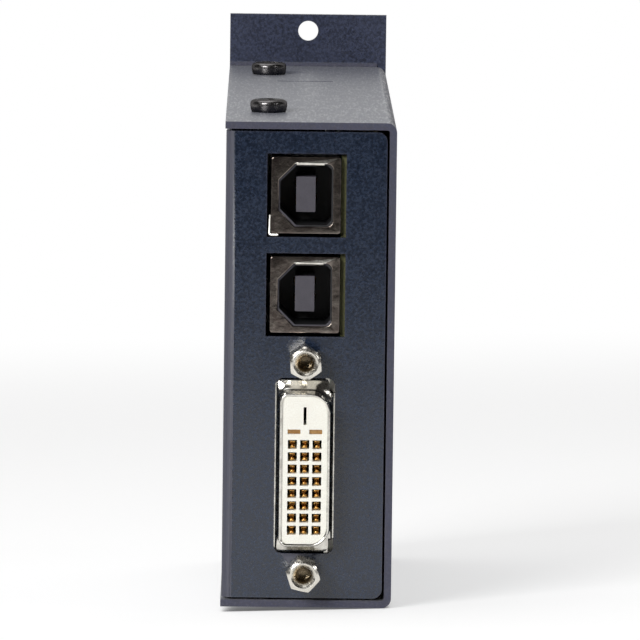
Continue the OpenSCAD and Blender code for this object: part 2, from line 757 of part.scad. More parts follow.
// The ground contact: a blade's fork behind the slot and one bar in each side window
module video_ground_contact() color([0.7, 0.48, 0.28]) translate([video_x, port_face_y, video_z]) {
  for (s = [-1, 1])
    block([s * video_bar_x - video_bar_len / 2 + touch_gap,
           video_face_back - video_proud + video_contact_back, video_bar_z - video_bar_w / 2 + touch_gap],
          [s * video_bar_x + video_bar_len / 2 - touch_gap, video_bar_deep - touch_gap,
           video_bar_z + video_bar_w / 2 - touch_gap]);
  block([touch_gap - video_blade_w / 2, video_back, video_blade_z - video_blade_len / 2 + touch_gap],
        [video_blade_w / 2 - touch_gap, video_block_back + video_leg_first,
         video_blade_z + video_blade_len / 2 - touch_gap]);
  block([touch_gap - video_blade_w / 2, video_block_back + touch_gap, video_blade_z - video_contact_w / 2],
        [video_above_board, video_block_back + video_leg_first, video_blade_z + video_contact_w / 2]);
}

// Hexagonal jack screw: a threaded socket outside the panel and a stud through it
module jack_screw(end) color([0.8, 0.79, 0.76])
  translate([video_x, port_face_y, video_z + end * jack_span / 2]) rotate([90, 0, 0]) difference() {
    union() {
      intersection() {
        cylinder(h = jack_proud, d = jack_across_flats / cos(180 / hexagon), $fn = hexagon);
        union() {
          cylinder(h = jack_proud - jack_chamfer_h, d = 2 * jack_across_flats);
          translate([0, 0, jack_proud - jack_chamfer_h])
            cylinder(h = jack_chamfer_h, d1 = jack_across_flats / cos(180 / hexagon),
                     d2 = jack_chamfer_d);
        }
      }
      translate([0, 0, -jack_stud_len]) cylinder(h = jack_stud_len + jack_chamfer_h, d = jack_stud_d);
    }
    translate([0, 0, jack_proud - jack_bore_deep])
      cylinder(h = jack_bore_deep + overrun, d = jack_bore_d);
    translate([0, 0, jack_proud - jack_mouth_deep])
      cylinder(h = jack_mouth_deep, d1 = jack_bore_d, d2 = jack_mouth_d);
    translate([0, 0, jack_proud]) cylinder(h = overrun, d = jack_mouth_d);
  }

module jack_screw_upper() jack_screw(1);
module jack_screw_lower() jack_screw(-1);

// Network socket: places are measured from its middle and its front, with Y into the case
module network_mouth() {
  high = network_tall / 2 - network_mouth_from_board;
  translate([high - network_mouth_tall, -network_mouth_wide / 2])
    square([network_mouth_tall, network_mouth_wide]);
  translate([high - network_mouth_tall - network_latch_tall, -network_latch_wide / 2])
    square([network_latch_tall + overrun, network_latch_wide]);
}

module network_light_boxes(gap, deep) for (s = [-1, 1])
  block([network_light_inset + shield_t - network_tall / 2 - gap, -deep,
         s * (network_wide / 2 - network_light_inset - shield_t - network_light_w / 2)
           - network_light_w / 2 - gap],
        [network_light_inset + shield_t + network_light_tall - network_tall / 2 + gap, overrun,
         s * (network_wide / 2 - network_light_inset - shield_t - network_light_w / 2)
           + network_light_w / 2 + gap]);

module network_shield() color([0.72, 0.72, 0.72]) translate([network_x, network_front_y, network_z])
  difference() {
    block([-network_tall / 2, -network_deep, -network_wide / 2], [network_tall / 2, 0, network_wide / 2]);
    block([shield_t - network_tall / 2, shield_t - network_deep, shield_t - network_wide / 2],
          [network_tall / 2 + overrun, -shield_t, network_wide / 2 - shield_t]);
    along_y(-shield_t - overrun, overrun) network_mouth();
    network_light_boxes(shield_gap, shield_t + overrun);
  }

shield_inset = shield_t + shield_gap;

module network_body() color([0.06, 0.06, 0.07]) translate([network_x, network_front_y, network_z])
  difference() {
    block([shield_inset - network_tall / 2, shield_inset - network_deep, shield_inset - network_wide / 2],
          [network_tall / 2, -shield_inset, network_wide / 2 - shield_inset]);
    along_y(-shield_inset - network_cave_deep, overrun) network_mouth();
    network_light_boxes(shield_gap, network_light_deep + shield_gap);
  }

module network_contacts() color([0.83, 0.66, 0.3]) translate([network_x, network_front_y, network_z])
  for (i = [1:network_pins]) {
    z = (i - (network_pins + 1) / 2) * network_pin_pitch;
    high = network_tall / 2 - network_mouth_from_board - touch_gap;
    back = touch_gap - shield_inset - network_cave_deep;
    along_z(z - network_pin_w / 2, z + network_pin_w / 2) polygon([
      [high, -shield_inset - network_pin_rise], [high, back],
      [high - network_pin_t - network_pin_rise, back],
      [high - network_pin_t, -shield_inset - network_pin_rise]
    ]);
  }

module network_lights() color([0.6, 0.75, 0.3]) translate([network_x, network_front_y, network_z])
  intersection() {
    network_light_boxes(0, network_light_deep);
    block([-network_tall, -network_deep, -network_wide], [network_tall, 0, network_wide]);
  }

// Power socket
module power_body() color([0.06, 0.06, 0.07]) translate([power_axis_x, network_front_y, power_z])
  difference() {
    union() {
      block([-power_tall / 2, -power_deep, -power_wide / 2],
            [power_tall / 2, far_back_y - network_front_y - end_gap, power_wide / 2]);
      rotate([90, 0, 0]) cylinder(h = power_collar_deep, d = power_collar_d);
    }
    translate([0, overrun, 0]) rotate([90, 0, 0])
      cylinder(h = power_cave_deep + overrun, d = power_mouth_d);
    rotate([90, 0, 0])
      cylinder(h = power_cave_deep + power_pin_root, d = power_pin_d + 2 * power_pin_gap);
    power_leaf_space(power_pin_gap);
  }

module power_pin() color([0.82, 0.82, 0.8]) translate([power_axis_x, network_front_y, power_z])
  rotate([90, 0, 0]) translate([0, 0, power_pin_back])
    cylinder(h = power_cave_deep + power_pin_root - power_pin_back - power_pin_gap, d = power_pin_d);

module power_leaf_space(gap) block(
  [power_mouth_d / 2 - power_leaf_t - gap, -power_cave_deep - power_pin_root - gap,
   -power_leaf_w / 2 - gap],
  [power_mouth_d / 2 + gap, gap - power_leaf_back, power_leaf_w / 2 + gap]);

module power_leaf() color([0.82, 0.82, 0.8]) translate([power_axis_x, network_front_y, power_z])
  power_leaf_space(0);

// Reset button: a plunger that slides in the housing's bore, over a springy dome
reset_front_y = far_face_y - reset_front_back;
reset_dome_y = reset_front_y - reset_cave_deep;

module reset_housing() color([0.07, 0.07, 0.08]) difference() {
  union() {
    block([reset_x - reset_tall / 2, reset_front_y - reset_deep, reset_z - reset_wide / 2],
          [reset_x + reset_tall / 2, reset_front_y, reset_z + reset_wide / 2]);
  }
  translate([reset_x, reset_front_y, reset_z]) rotate([90, 0, 0]) {
    translate([0, 0, -overrun]) cylinder(h = reset_cave_deep + overrun, d = reset_cave_d);
  }
}

module reset_cover() color([0.72, 0.72, 0.72]) difference() {
  block([reset_x - reset_tall / 2, reset_front_y, reset_z - reset_wide / 2],
        [reset_x + reset_tall / 2, reset_front_y + reset_cover_t, reset_z + reset_wide / 2]);
  translate([reset_x, reset_front_y + reset_cover_t + overrun, reset_z]) rotate([90, 0, 0])
    cylinder(h = reset_cover_t + 2 * overrun, d = reset_plunger_d + 2 * reset_bore_gap);
}

module reset_plunger() color([0.16, 0.16, 0.17]) translate([reset_x, reset_front_y, reset_z])
  rotate([-90, 0, 0]) {
    cylinder(h = reset_front_back - reset_tip_back, d = reset_plunger_d);
    translate([0, 0, -reset_flange_t - reset_bore_gap])
      cylinder(h = reset_flange_t, d = reset_flange_d);
    translate([0, 0, -reset_flange_t - reset_bore_gap])
      cylinder(h = reset_flange_t + reset_bore_gap + touch_gap, d = reset_plunger_d);
  }

// The dome stands on the cave's floor, its crown one travel below the plunger's flange
module reset_dome() color([0.75, 0.75, 0.76]) translate([reset_x, reset_dome_y, reset_z])
  rotate([-90, 0, 0]) difference() {
    cylinder(h = reset_cave_deep - reset_flange_t - reset_travel - 2 * reset_bore_gap,
             d1 = reset_dome_d, d2 = reset_flange_d);
    translate([0, 0, -overrun])
      cylinder(h = reset_cave_deep - reset_flange_t - reset_travel - 2 * reset_bore_gap
                   - reset_dome_t + overrun, d = reset_flange_d - 2 * reset_dome_t);
  }

// Light pipes: a post over each lamp and a round pipe from it to the far panel
module light_pipes() color([0.8, 0.85, 0.85]) {
  axis_x = board_face_x - light_pipe_above_board;
  for (i = [1:light_count]) translate([0, far_face_y, lights_z + light_offset(i)]) {
    translate([axis_x, 0, 0]) rotate([90, 0, 0]) cylinder(h = light_pipe_len, d = light_pipe_d);
    block([axis_x - light_pipe_d / 2, -light_pipe_len - light_post / 2, -light_post / 2],
          [board_face_x - lamp_h - touch_gap, light_post / 2 - light_pipe_len, light_post / 2]);
  }
  block([axis_x, far_face_y - light_pipe_len - light_web_t / 2, lights_z + light_offset(1)],
        [axis_x + light_web_t, far_face_y - light_pipe_len + light_web_t / 2,
         lights_z + light_offset(light_count)]);
}

module indicator_lamps() color([0.9, 0.88, 0.7]) for (i = [1:light_count])
  block([board_face_x - lamp_h, far_face_y - light_pipe_len - lamp_w / 2,
         lights_z + light_offset(i) - lamp_w / 2],
        [board_face_x, far_face_y - light_pipe_len + lamp_w / 2,
         lights_z + light_offset(i) + lamp_w / 2]);

// Chips and other parts soldered to the board's face
module processor() color([0.12, 0.12, 0.13])
  on_board(processor_place_shares, [processor_size, processor_size], processor_h);

module thermal_pad() color([0.75, 0.75, 0.8])
  on_board(processor_place_shares, [pad_size, pad_size], pad_t, processor_h);

module heat_sink() color([0.25, 0.26, 0.28]) {
  spot = board_spot(processor_place_shares);
  rise = processor_h + pad_t;
  step = (heat_sink_size - heat_sink_fin_t) / (heat_sink_fins - 1);
  on_board(processor_place_shares, [heat_sink_size, heat_sink_size], heat_sink_base, rise);
  for (i = [0:heat_sink_fins - 1])
    translate([board_face_x - rise - heat_sink_h, spot[0] - heat_sink_size / 2,
               spot[1] - heat_sink_size / 2 + i * step])
      cube([heat_sink_h, heat_sink_size, heat_sink_fin_t]);
}

module memory_chips() color([0.1, 0.1, 0.11])
  for (p = memory_place_shares) on_board(p, memory_size, memory_h);

module video_chip() color([0.1, 0.1, 0.11])
  on_board(video_chip_place_shares, [video_chip_size, video_chip_size], chip_h);

module network_chip() color([0.1, 0.1, 0.11])
  on_board(network_chip_place_shares, [network_chip_size, network_chip_size], chip_h);

module usb_chip() color([0.1, 0.1, 0.11])
  on_board(usb_chip_place_shares, [usb_chip_size, usb_chip_size], chip_h);

module flash_chip() color([0.1, 0.1, 0.11])
  on_board(flash_place_shares, flash_size, flash_h);

module power_chips() color([0.1, 0.1, 0.11])
  for (p = power_chip_place_shares) on_board(p, power_chip_size, power_chip_h);

module power_inductors() color([0.22, 0.22, 0.24])
  for (p = inductor_place_shares) on_board(p, [inductor_size, inductor_size], inductor_h);

module bulk_capacitors() color([0.78, 0.79, 0.82]) for (p = capacitor_place_shares) {
  spot = board_spot(p);
  on_board(p, [capacitor_base, capacitor_base], capacitor_base_h);
  translate([board_face_x, spot[0], spot[1]]) rotate([0, -90, 0])
    cylinder(h = capacitor_h, d = capacitor_d);
}

module crystals() color([0.78, 0.78, 0.76]) for (p = crystal_place_shares) {
  spot = board_spot(p);
  straight = (crystal_size[1] - crystal_size[0]) / 2;
  on_board(p, [crystal_size[0], 2 * straight], crystal_h);
  for (s = [-1, 1]) translate([board_face_x, spot[0], spot[1] + s * straight]) rotate([0, -90, 0])
    cylinder(h = crystal_h, d = crystal_size[0]);
}

module small_resistors() color([0.2, 0.18, 0.16])
  for (p = resistor_place_shares, i = [0:resistor_cols - 1], j = [0:resistor_rows - 1]) {
    spot = board_spot(p);
    translate([board_face_x - resistor_h, spot[0] + i * resistor_pitch[0],
               spot[1] - j * resistor_pitch[1]])
      cube([resistor_h, resistor_size[0], resistor_size[1]]);
  }

module header_places() {
  spot = board_spot(header_place_shares);
  for (i = [0:header_count - 1])
    translate([board_face_x, spot[0] + (i - (header_count - 1) / 2) * header_pitch, spot[1]]) children();
}

module service_header() color([0.06, 0.06, 0.07]) difference() {
  on_board(header_place_shares, [header_count * header_pitch, header_pitch], header_h);
  header_places() block(
    [-header_h - overrun, -header_pin_w / 2 - header_pin_gap, -header_pin_w / 2 - header_pin_gap],
    [overrun, header_pin_w / 2 + header_pin_gap, header_pin_w / 2 + header_pin_gap]);
}

module header_pins() color([0.83, 0.66, 0.3]) header_places() block(
  [-header_pin_len, -header_pin_w / 2, -header_pin_w / 2], [0, header_pin_w / 2, header_pin_w / 2]);

chassis();
cover();
cover_press_nuts();
case_screws_upper();
case_screws_lower();
base_screws();
circuit_board();
board_spacers();
board_screws();
usb_shell_upper();
usb_shell_lower();
usb_body_upper();
usb_body_lower();
usb_contacts_upper();
usb_contacts_lower();
video_shell();
video_insulator();
video_signal_contacts();
video_ground_contact();
jack_screw_upper();
jack_screw_lower();
network_shield();
network_body();
network_contacts();
network_lights();
power_body();
power_pin();
power_leaf();
reset_housing();
reset_cover();
reset_plunger();
reset_dome();
light_pipes();
indicator_lamps();
processor();
thermal_pad();
heat_sink();
memory_chips();
video_chip();
network_chip();
usb_chip();
flash_chip();
power_chips();
power_inductors();
bulk_capacitors();
crystals();
small_resistors();
service_header();
header_pins();
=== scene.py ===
"""Finishes a KVM over IP gateway around its packed frame: case, screws, sockets, board and stage.

Lengths inside the builders are millimetres in the frame of the packed part: +X runs from the
cover's large face to the chassis's, +Y from the port end to the ears, and +Z is up.
"""

import math

import bmesh
import bpy
from bpy.props import FloatProperty, FloatVectorProperty, IntProperty, PointerProperty
from bpy.types import Operator, Panel, PropertyGroup
from mathutils import Matrix, Vector


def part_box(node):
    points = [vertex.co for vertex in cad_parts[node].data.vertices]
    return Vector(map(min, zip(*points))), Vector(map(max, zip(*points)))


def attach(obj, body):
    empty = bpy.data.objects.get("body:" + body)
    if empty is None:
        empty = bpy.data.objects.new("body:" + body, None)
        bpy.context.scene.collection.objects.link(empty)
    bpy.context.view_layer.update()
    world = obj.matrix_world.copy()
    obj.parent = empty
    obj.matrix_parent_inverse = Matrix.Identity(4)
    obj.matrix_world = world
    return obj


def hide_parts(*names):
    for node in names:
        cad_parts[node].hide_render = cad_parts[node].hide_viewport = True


bl_info = {
    "name": "KVM Gateway",
    "version": (1, 0, 0),
    "blender": (4, 5, 0),
    "location": "3D View > Sidebar > Gateway",
    "description": "Builds the looks of a KVM over IP gateway around its packed frame",
    "category": "Object",
}

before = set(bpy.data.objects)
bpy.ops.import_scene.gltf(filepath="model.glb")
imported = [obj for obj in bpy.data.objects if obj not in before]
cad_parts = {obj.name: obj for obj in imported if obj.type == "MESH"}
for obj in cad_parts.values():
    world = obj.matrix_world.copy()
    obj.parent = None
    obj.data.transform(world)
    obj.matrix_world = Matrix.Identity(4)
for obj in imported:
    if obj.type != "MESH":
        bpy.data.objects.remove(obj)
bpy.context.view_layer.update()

MM = 0.001
BODY = "gateway"
BUTTON_BODY = "reset_button"
DUST_COLOUR = (0.3, 0.3, 0.29)


def corners(node):
    """Lowest and highest corner of a packed node, in millimetres."""
    low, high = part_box(node)
    return low / MM, high / MM


PORT_FACE_Y, FAR_FACE_Y = (corner.y for corner in corners("cover"))
BOARD_FACE_X = corners("circuit_board")[0].x


# ---------------------------------------------------------------- sizes and colours


def length(name, description, default):
    """A length property whose default is given in millimetres."""
    return FloatProperty(name=name, description=description, default=default * MM,
                         min=0, unit="LENGTH", precision=5)


def colour(name, description, default):
    return FloatVectorProperty(name=name, description=description, default=default,
                               min=0, max=1, size=3, subtype="COLOR")


def share(name, description, default):
    return FloatProperty(name=name, description=description, default=default,
                         min=0, max=1, subtype="FACTOR")


class GatewayPaint(PropertyGroup):
    """Powder coat of the case."""

    # One powder coat in truth: the chassis gets a paler copy than the cover, a painted lightening
    # that stands in for how each is lit.
    chassis_colour: colour(
        "Chassis paint", "Colour of the chassis's powder coat", (0.0205, 0.027, 0.057))
    cover_colour: colour("Cover paint", "Colour of the cover's powder coat", (0.006, 0.013, 0.031))
    # Paler colour of edges and specks: a thinner coat over worn edges and specks, and a painted
    # highlight on bends and cut edges.
    thin_coat_and_highlight_colour: colour(
        "Thin paint", "Colour where the coat is thin over an edge", (0.084, 0.08, 0.108))
    grain: length("Grain", "Width of one grain of the powder coat", 0.42)
    relief: length("Relief", "Height of the powder coat's grain", 0.015)
    gloss: share("Roughness", "Roughness of the cover's coat", 0.27)
    chassis_gloss: share("Chassis roughness", "Roughness of the chassis's coat", 0.42)
    haze: share("Haze", "How pale the rough coat of the chassis looks at a flat angle", 0.15)
    edge: length("Sheet edge", "Rounding of the sheet's painted edges", 0.34)


class GatewayMetals(PropertyGroup):
    """Bare and plated metals."""

    tin: colour("Tin plate", "Plating of the socket shells", (0.8, 0.78, 0.72))
    # Darker copy of the tin for the USB shells: partly tarnish, partly a painted shade for the dark
    # room that they mirror.
    formed: colour("Tarnished tin", "Dull plating of the USB shells", (0.24, 0.21, 0.185))
    # Darker, browner metal inside the bores: painted shade in the recess.
    thread: colour("Oiled thread", "Oily metal inside the jack screws' bores", (0.34, 0.27, 0.17))
    nickel: colour("Nickel", "Plating of the jack screws and the power pin", (0.8, 0.77, 0.7))
    zinc: colour("Zinc", "Plating of the nuts and the inner screws", (0.6, 0.61, 0.62))
    gilt: colour("Gilt", "Gold flash of the contacts", (0.88, 0.53, 0.17))
    # Brighter tin on the sheared corner tab: fresh tin, and partly a painted highlight.
    tab: colour("Bright tab", "Fresh tin on the sheared tab of a USB shell", (0.6, 0.59, 0.55))
    worn_gilt: colour("Worn gilt", "Rubbed gold flash of the ground contact", (0.6, 0.36, 0.15))
    heat_sink: colour("Black aluminium", "Anodised heat sink", (0.05, 0.05, 0.055))
    can: colour("Can aluminium", "Cans of the capacitors", (0.72, 0.73, 0.75))
    brass: colour("Brass", "Turned brass of the spacers", (0.72, 0.57, 0.3))
    black: colour("Black plating", "Plating of the case screws", (0.13, 0.125, 0.125))


class GatewayPlastics(PropertyGroup):
    """Moulded pieces and the board."""

    black: colour(
        "Black plastic", "Insulators of the USB, network and power sockets", (0.012, 0.012, 0.014))
    tongue: colour("Tongue", "Tongue of a USB socket", (0.062, 0.058, 0.072))
    ivory: colour("Ivory plastic", "Insulator of the video socket", (0.97, 0.94, 0.84))
    laminate: colour("Board edge", "Glass laminate along the board's edges", (0.17, 0.17, 0.075))
    mask: colour("Solder mask", "Solder mask on the board's faces", (0.012, 0.085, 0.03))
    button: colour("Button plastic", "Plunger of the reset button", (0.03, 0.03, 0.032))
    pad: colour("Thermal pad", "Soft pad under the heat sink", (0.3, 0.33, 0.42))
    ferrite: colour("Ferrite", "Pressed powder of the inductors", (0.06, 0.06, 0.063))
    lens: colour("Lamp lens", "Diffusing plastic of the lamps", (0.75, 0.8, 0.62))
    pipe: colour("Light pipe", "Clear plastic of the light pipes", (0.9, 0.92, 0.91))
    epoxy: colour("Chip epoxy", "Moulded epoxy of the chips", (0.02, 0.02, 0.021))


class GatewayScrews(PropertyGroup):
    """Screws of the case and of the board."""

    head_round: length("Head rounding", "Rounding of a pan head's rim", 0.85)
    drive_length: length("Drive length", "Length of the cross drive of a case screw", 3.3)
    drive_width: length("Drive width", "Width of the cross drive of a case screw", 0.85)
    drive_depth: length("Drive depth", "Depth of the cross drive of a case screw", 1.2)
    pitch: length("Thread pitch", "Distance between two ridges of a thread", 0.5)
    jack_pitch: length(
        "Jack thread pitch", "Distance between two ridges of a jack screw's thread", 0.635)
    jack_flats: length("Jack flats", "Distance across the flats of a jack screw", 4.75)
    steps: IntProperty(
        name="Steps", description="Steps of a turned piece round its axis", default=48, min=12)


class GatewaySockets(PropertyGroup):
    """Formed sheet metal of the sockets."""

    lip: length("USB lip", "Radius of the rolled lip round a USB mouth", 0.16)
    sheet: length("USB sheet", "Thickness of a USB shell's sheet", 0.3)
    video_sheet: length("Video sheet", "Thickness of the video shell's sheet", 0.4)
    video_pitch: length("Video pitch", "Distance between two video contacts", 1.905)


class GatewayStage(PropertyGroup):
    """Camera, floor and lamps."""

    camera_place: FloatVectorProperty(
        name="Camera place", description="Where the camera stands", size=3, subtype="TRANSLATION",
        default=(-0.007062, -1.269655, 0.130554))
    camera_turn: FloatVectorProperty(
        name="Camera turn", description="How the camera is turned", size=3, subtype="EULER",
        default=tuple(math.radians(a) for a in (83.87269, -0.70894, -0.36053)))
    camera_lens: FloatProperty(
        name="Lens", description="Focal length on a 36 mm sensor, in millimetres", default=420.72)
    floor_height: FloatProperty(
        name="Floor height", description="Height of the floor under the ears",
        default=-46.98 * MM, unit="LENGTH")
    floor_back: FloatProperty(
        name="Floor fall", description="Rise of the floor for each metre towards the ears",
        default=-0.0733)
    floor_side: FloatProperty(
        name="Floor lean", default=0.033,
        description="Rise of the floor for each metre towards the chassis's large wall")
    key_power: FloatProperty(
        name="Key lamp", description="Power of the key lamp", default=21.5, unit="POWER")
    fill_power: FloatProperty(
        name="Fill lamp", description="Power of the fill lamp", default=1.5, unit="POWER")
    top_power: FloatProperty(
        name="Top lamp", description="Power of the lamp overhead", default=6.0, unit="POWER")
    room: colour("Dark room", "Colour of the unlit room behind the camera", (0.02, 0.018, 0.017))
    sky: share("Studio walls", "Brightness of the pale walls behind and above", 0.85)


GROUPS = {
    "gateway_paint": GatewayPaint,
    "gateway_metals": GatewayMetals,
    "gateway_plastics": GatewayPlastics,
    "gateway_screws": GatewayScrews,
    "gateway_sockets": GatewaySockets,
    "gateway_stage": GatewayStage,
}


# ---------------------------------------------------------------- node trees


def add_node(tree, kind, **settings):
    """A node whose properties and inputs are set by name; input names hold _ for a space."""
    node = tree.nodes.new(kind)
    for key, value in settings.items():
        if hasattr(node, key):
            setattr(node, key, value)
        else:
            node.inputs[key.replace("_", " ")].default_value = value
    return node


def math_node(tree, operation, first, second=None, clamp=False):
    node = add_node(tree, "ShaderNodeMath", operation=operation, use_clamp=clamp)
    for socket, value in zip(node.inputs, (first, second)):
        if isinstance(value, bpy.types.NodeSocket):
            tree.links.new(value, socket)
        elif value is not None:
            socket.default_value = value
    return node.outputs[0]


def times(tree, first, second, clamp=False):
    return math_node(tree, "MULTIPLY", first, second, clamp)


def parts(tree, vector):
    """The three numbers of a vector, by the name of their axis."""
    node = add_node(tree, "ShaderNodeSeparateXYZ")
    tree.links.new(vector, node.inputs[0])
    return node.outputs


def surface_normal(tree):
    return add_node(tree, "ShaderNodeNewGeometry").outputs["Normal"]


def mix_colour(tree, factor, first, second):
    node = add_node(tree, "ShaderNodeMix", data_type="RGBA")
    sockets = node.inputs[0], node.inputs[6], node.inputs[7]
    for socket, value in zip(sockets, (factor, first, second)):
        if isinstance(value, bpy.types.NodeSocket):
            tree.links.new(value, socket)
        else:
            socket.default_value = value if isinstance(value, float) else (*value, 1)
    return node.outputs[2]


def spread(tree, value, low, high, to_low=0.0, to_high=1.0):
    """A value carried from one range to another, with soft ends."""
    node = add_node(tree, "ShaderNodeMapRange", interpolation_type="SMOOTHSTEP")
    tree.links.new(value, node.inputs[0])
    for socket, number in zip(node.inputs[1:5], (low, high, to_low, to_high)):
        socket.default_value = number
    return node.outputs[0]


def noise(tree, vector, size, detail, roughness=0.55):
    """Noise whose patches are about size millimetres wide."""
    node = add_node(tree, "ShaderNodeTexNoise", Scale=1 / (size * MM), Detail=detail,
                    Roughness=roughness)
    tree.links.new(vector, node.inputs["Vector"])
    return node.outputs[0]


def new_group(name, inputs, outputs):
    """An empty shader node group with its own sockets, and its input and output nodes."""
    tree = bpy.data.node_groups.new(name, "ShaderNodeTree")
    for label, kind, default in inputs:
        socket = tree.interface.new_socket(label, in_out="INPUT", socket_type=kind)
        if default is not None:
            socket.default_value = default
    for label, kind in outputs:
        tree.interface.new_socket(label, in_out="OUTPUT", socket_type=kind)
    return tree, tree.nodes.new("NodeGroupInput"), tree.nodes.new("NodeGroupOutput")


def grain_group():
    """Two sizes of grain, one in the other, with a height and a mask of rare bright specks."""
    tree, source, result = new_group(
        "Grain",
        [("Vector", "NodeSocketVector", None), ("Scale", "NodeSocketFloat", 3000.0)],
        [("Height", "NodeSocketFloat"), ("Patches", "NodeSocketFloat"),
         ("Specks", "NodeSocketFloat")])
    fine = add_node(tree, "ShaderNodeTexNoise", Detail=3.0, Roughness=0.6)
    wide = add_node(tree, "ShaderNodeTexNoise", Detail=2.0, Roughness=0.5)
    specks = add_node(tree, "ShaderNodeTexVoronoi", feature="F1")
    for node, factor in ((fine, 1.0), (wide, 0.13), (specks, 0.35)):
        tree.links.new(source.outputs["Vector"], node.inputs["Vector"])
        tree.links.new(times(tree, source.outputs["Scale"], factor), node.inputs["Scale"])
    tree.links.new(fine.outputs[0], result.inputs["Height"])
    tree.links.new(spread(tree, wide.outputs[0], 0.3, 0.7), result.inputs["Patches"])
    tree.links.new(spread(tree, specks.outputs["Distance"], 0.22, 0.08), result.inputs["Specks"])
    return tree


def wear_group():
    """A mask that is 1 along edges and fades over the given width, broken up by noise."""
    tree, source, result = new_group(
        "Edge wear",
        [("Vector", "NodeSocketVector", None), ("Width", "NodeSocketFloat", 0.0004),
         ("Break", "NodeSocketFloat", 0.5)],
        [("Mask", "NodeSocketFloat")])
    rounded = add_node(tree, "ShaderNodeBevel", samples=4)
    tree.links.new(source.outputs["Width"], rounded.inputs["Radius"])
    dot = add_node(tree, "ShaderNodeVectorMath", operation="DOT_PRODUCT")
    tree.links.new(rounded.outputs[0], dot.inputs[0])
    tree.links.new(surface_normal(tree), dot.inputs[1])
    edge = spread(tree, dot.outputs["Value"], 0.995, 0.85)
    patches = spread(tree, noise(tree, source.outputs["Vector"], 1.1, 3.0), 0.35, 0.65)
    broken = times(tree, patches, source.outputs["Break"])
    kept = math_node(tree, "SUBTRACT", 1.0, broken)
    tree.links.new(times(tree, edge, kept, clamp=True), result.inputs["Mask"])
    return tree


def dust_group():
    """A mask of fine dust on faces that look up."""
    tree, source, result = new_group(
        "Dust",
        [("Vector", "NodeSocketVector", None), ("Amount", "NodeSocketFloat", 0.2)],
        [("Mask", "NodeSocketFloat")])
    up = spread(tree, parts(tree, surface_normal(tree))["Z"], 0.2, 0.95)
    flecks = spread(tree, noise(tree, source.outputs["Vector"], 0.5, 4.0, 0.7), 0.45, 0.75)
    mask = times(tree, times(tree, up, flecks), source.outputs["Amount"], clamp=True)
    tree.links.new(mask, result.inputs["Mask"])
    return tree


def streak_group():
    """Fine parallel streaks, as rolling and drawing leave in sheet metal."""
    tree, source, result = new_group(
        "Streaks",
        [("Vector", "NodeSocketVector", None), ("Along", "NodeSocketVector", (1.0, 0.05, 1.0)),
         ("Scale", "NodeSocketFloat", 5000.0)],
        [("Height", "NodeSocketFloat"), ("Patches", "NodeSocketFloat")])
    drawn = add_node(tree, "ShaderNodeVectorMath", operation="MULTIPLY")
    tree.links.new(source.outputs["Vector"], drawn.inputs[0])
    tree.links.new(source.outputs["Along"], drawn.inputs[1])
    lines = add_node(tree, "ShaderNodeTexNoise", Detail=3.0, Roughness=0.65)
    tree.links.new(drawn.outputs[0], lines.inputs["Vector"])
    tree.links.new(source.outputs["Scale"], lines.inputs["Scale"])
    tree.links.new(lines.outputs[0], result.inputs["Height"])
    patches = noise(tree, source.outputs["Vector"], 2.2, 3.0)
    tree.links.new(spread(tree, patches, 0.35, 0.7), result.inputs["Patches"])
    return tree


GROUP_MAKERS = {
    "Grain": grain_group,
    "Edge wear": wear_group,
    "Dust": dust_group,
    "Streaks": streak_group,
}


def shared(tree, name, vector, **values):
    """One of the shared effects placed in a material, with its own values."""
    node = tree.nodes.new("ShaderNodeGroup")
    node.node_tree = bpy.data.node_groups.get(name) or GROUP_MAKERS[name]()
    tree.links.new(vector, node.inputs["Vector"])
    for key, value in values.items():
        node.inputs[key].default_value = value
    return node


def new_material(name, **surface):
    """A material, its tree, its Principled shader and its Object coordinates."""
    material = bpy.data.materials.new(name)
    material.use_nodes = True
    tree = material.node_tree
    shader = tree.nodes["Principled BSDF"]
    for key, value in surface.items():
        shader.inputs[key.replace("_", " ")].default_value = value
    return material, tree, shader, tree.nodes.new("ShaderNodeTexCoord").outputs["Object"]


def add_bump(tree, shader, height, relief):
    """Gives the shader a bump of that many millimetres and returns its node."""
    bump = add_node(tree, "ShaderNodeBump", Strength=1.0, Distance=relief * MM)
    tree.links.new(height, bump.inputs["Height"])
    tree.links.new(bump.outputs[0], shader.inputs["Normal"])
    return bump


# ---------------------------------------------------------------- finishes


ALONG_X = (0.05, 1.0, 1.0)  # how far streaks are drawn out: the smaller the number, the longer
ALONG_Y = (1.0, 0.06, 1.0)
ROLLED = (1.0, 0.1, 1.0)
EVEN = (1.0, 1.0, 1.0)


def lighter(base, factor):
    return tuple(min(1.0, c * factor) for c in base)


def bends(tree):
    """A mask of bends and rounded edges: faces turned away from all three axes."""
    normal = parts(tree, surface_normal(tree))
    x, y, z = (math_node(tree, "ABSOLUTE", normal[axis]) for axis in "XYZ")
    squareness = math_node(tree, "MAXIMUM", x, math_node(tree, "MAXIMUM", y, z))
    return spread(tree, squareness, 0.995, 0.93)


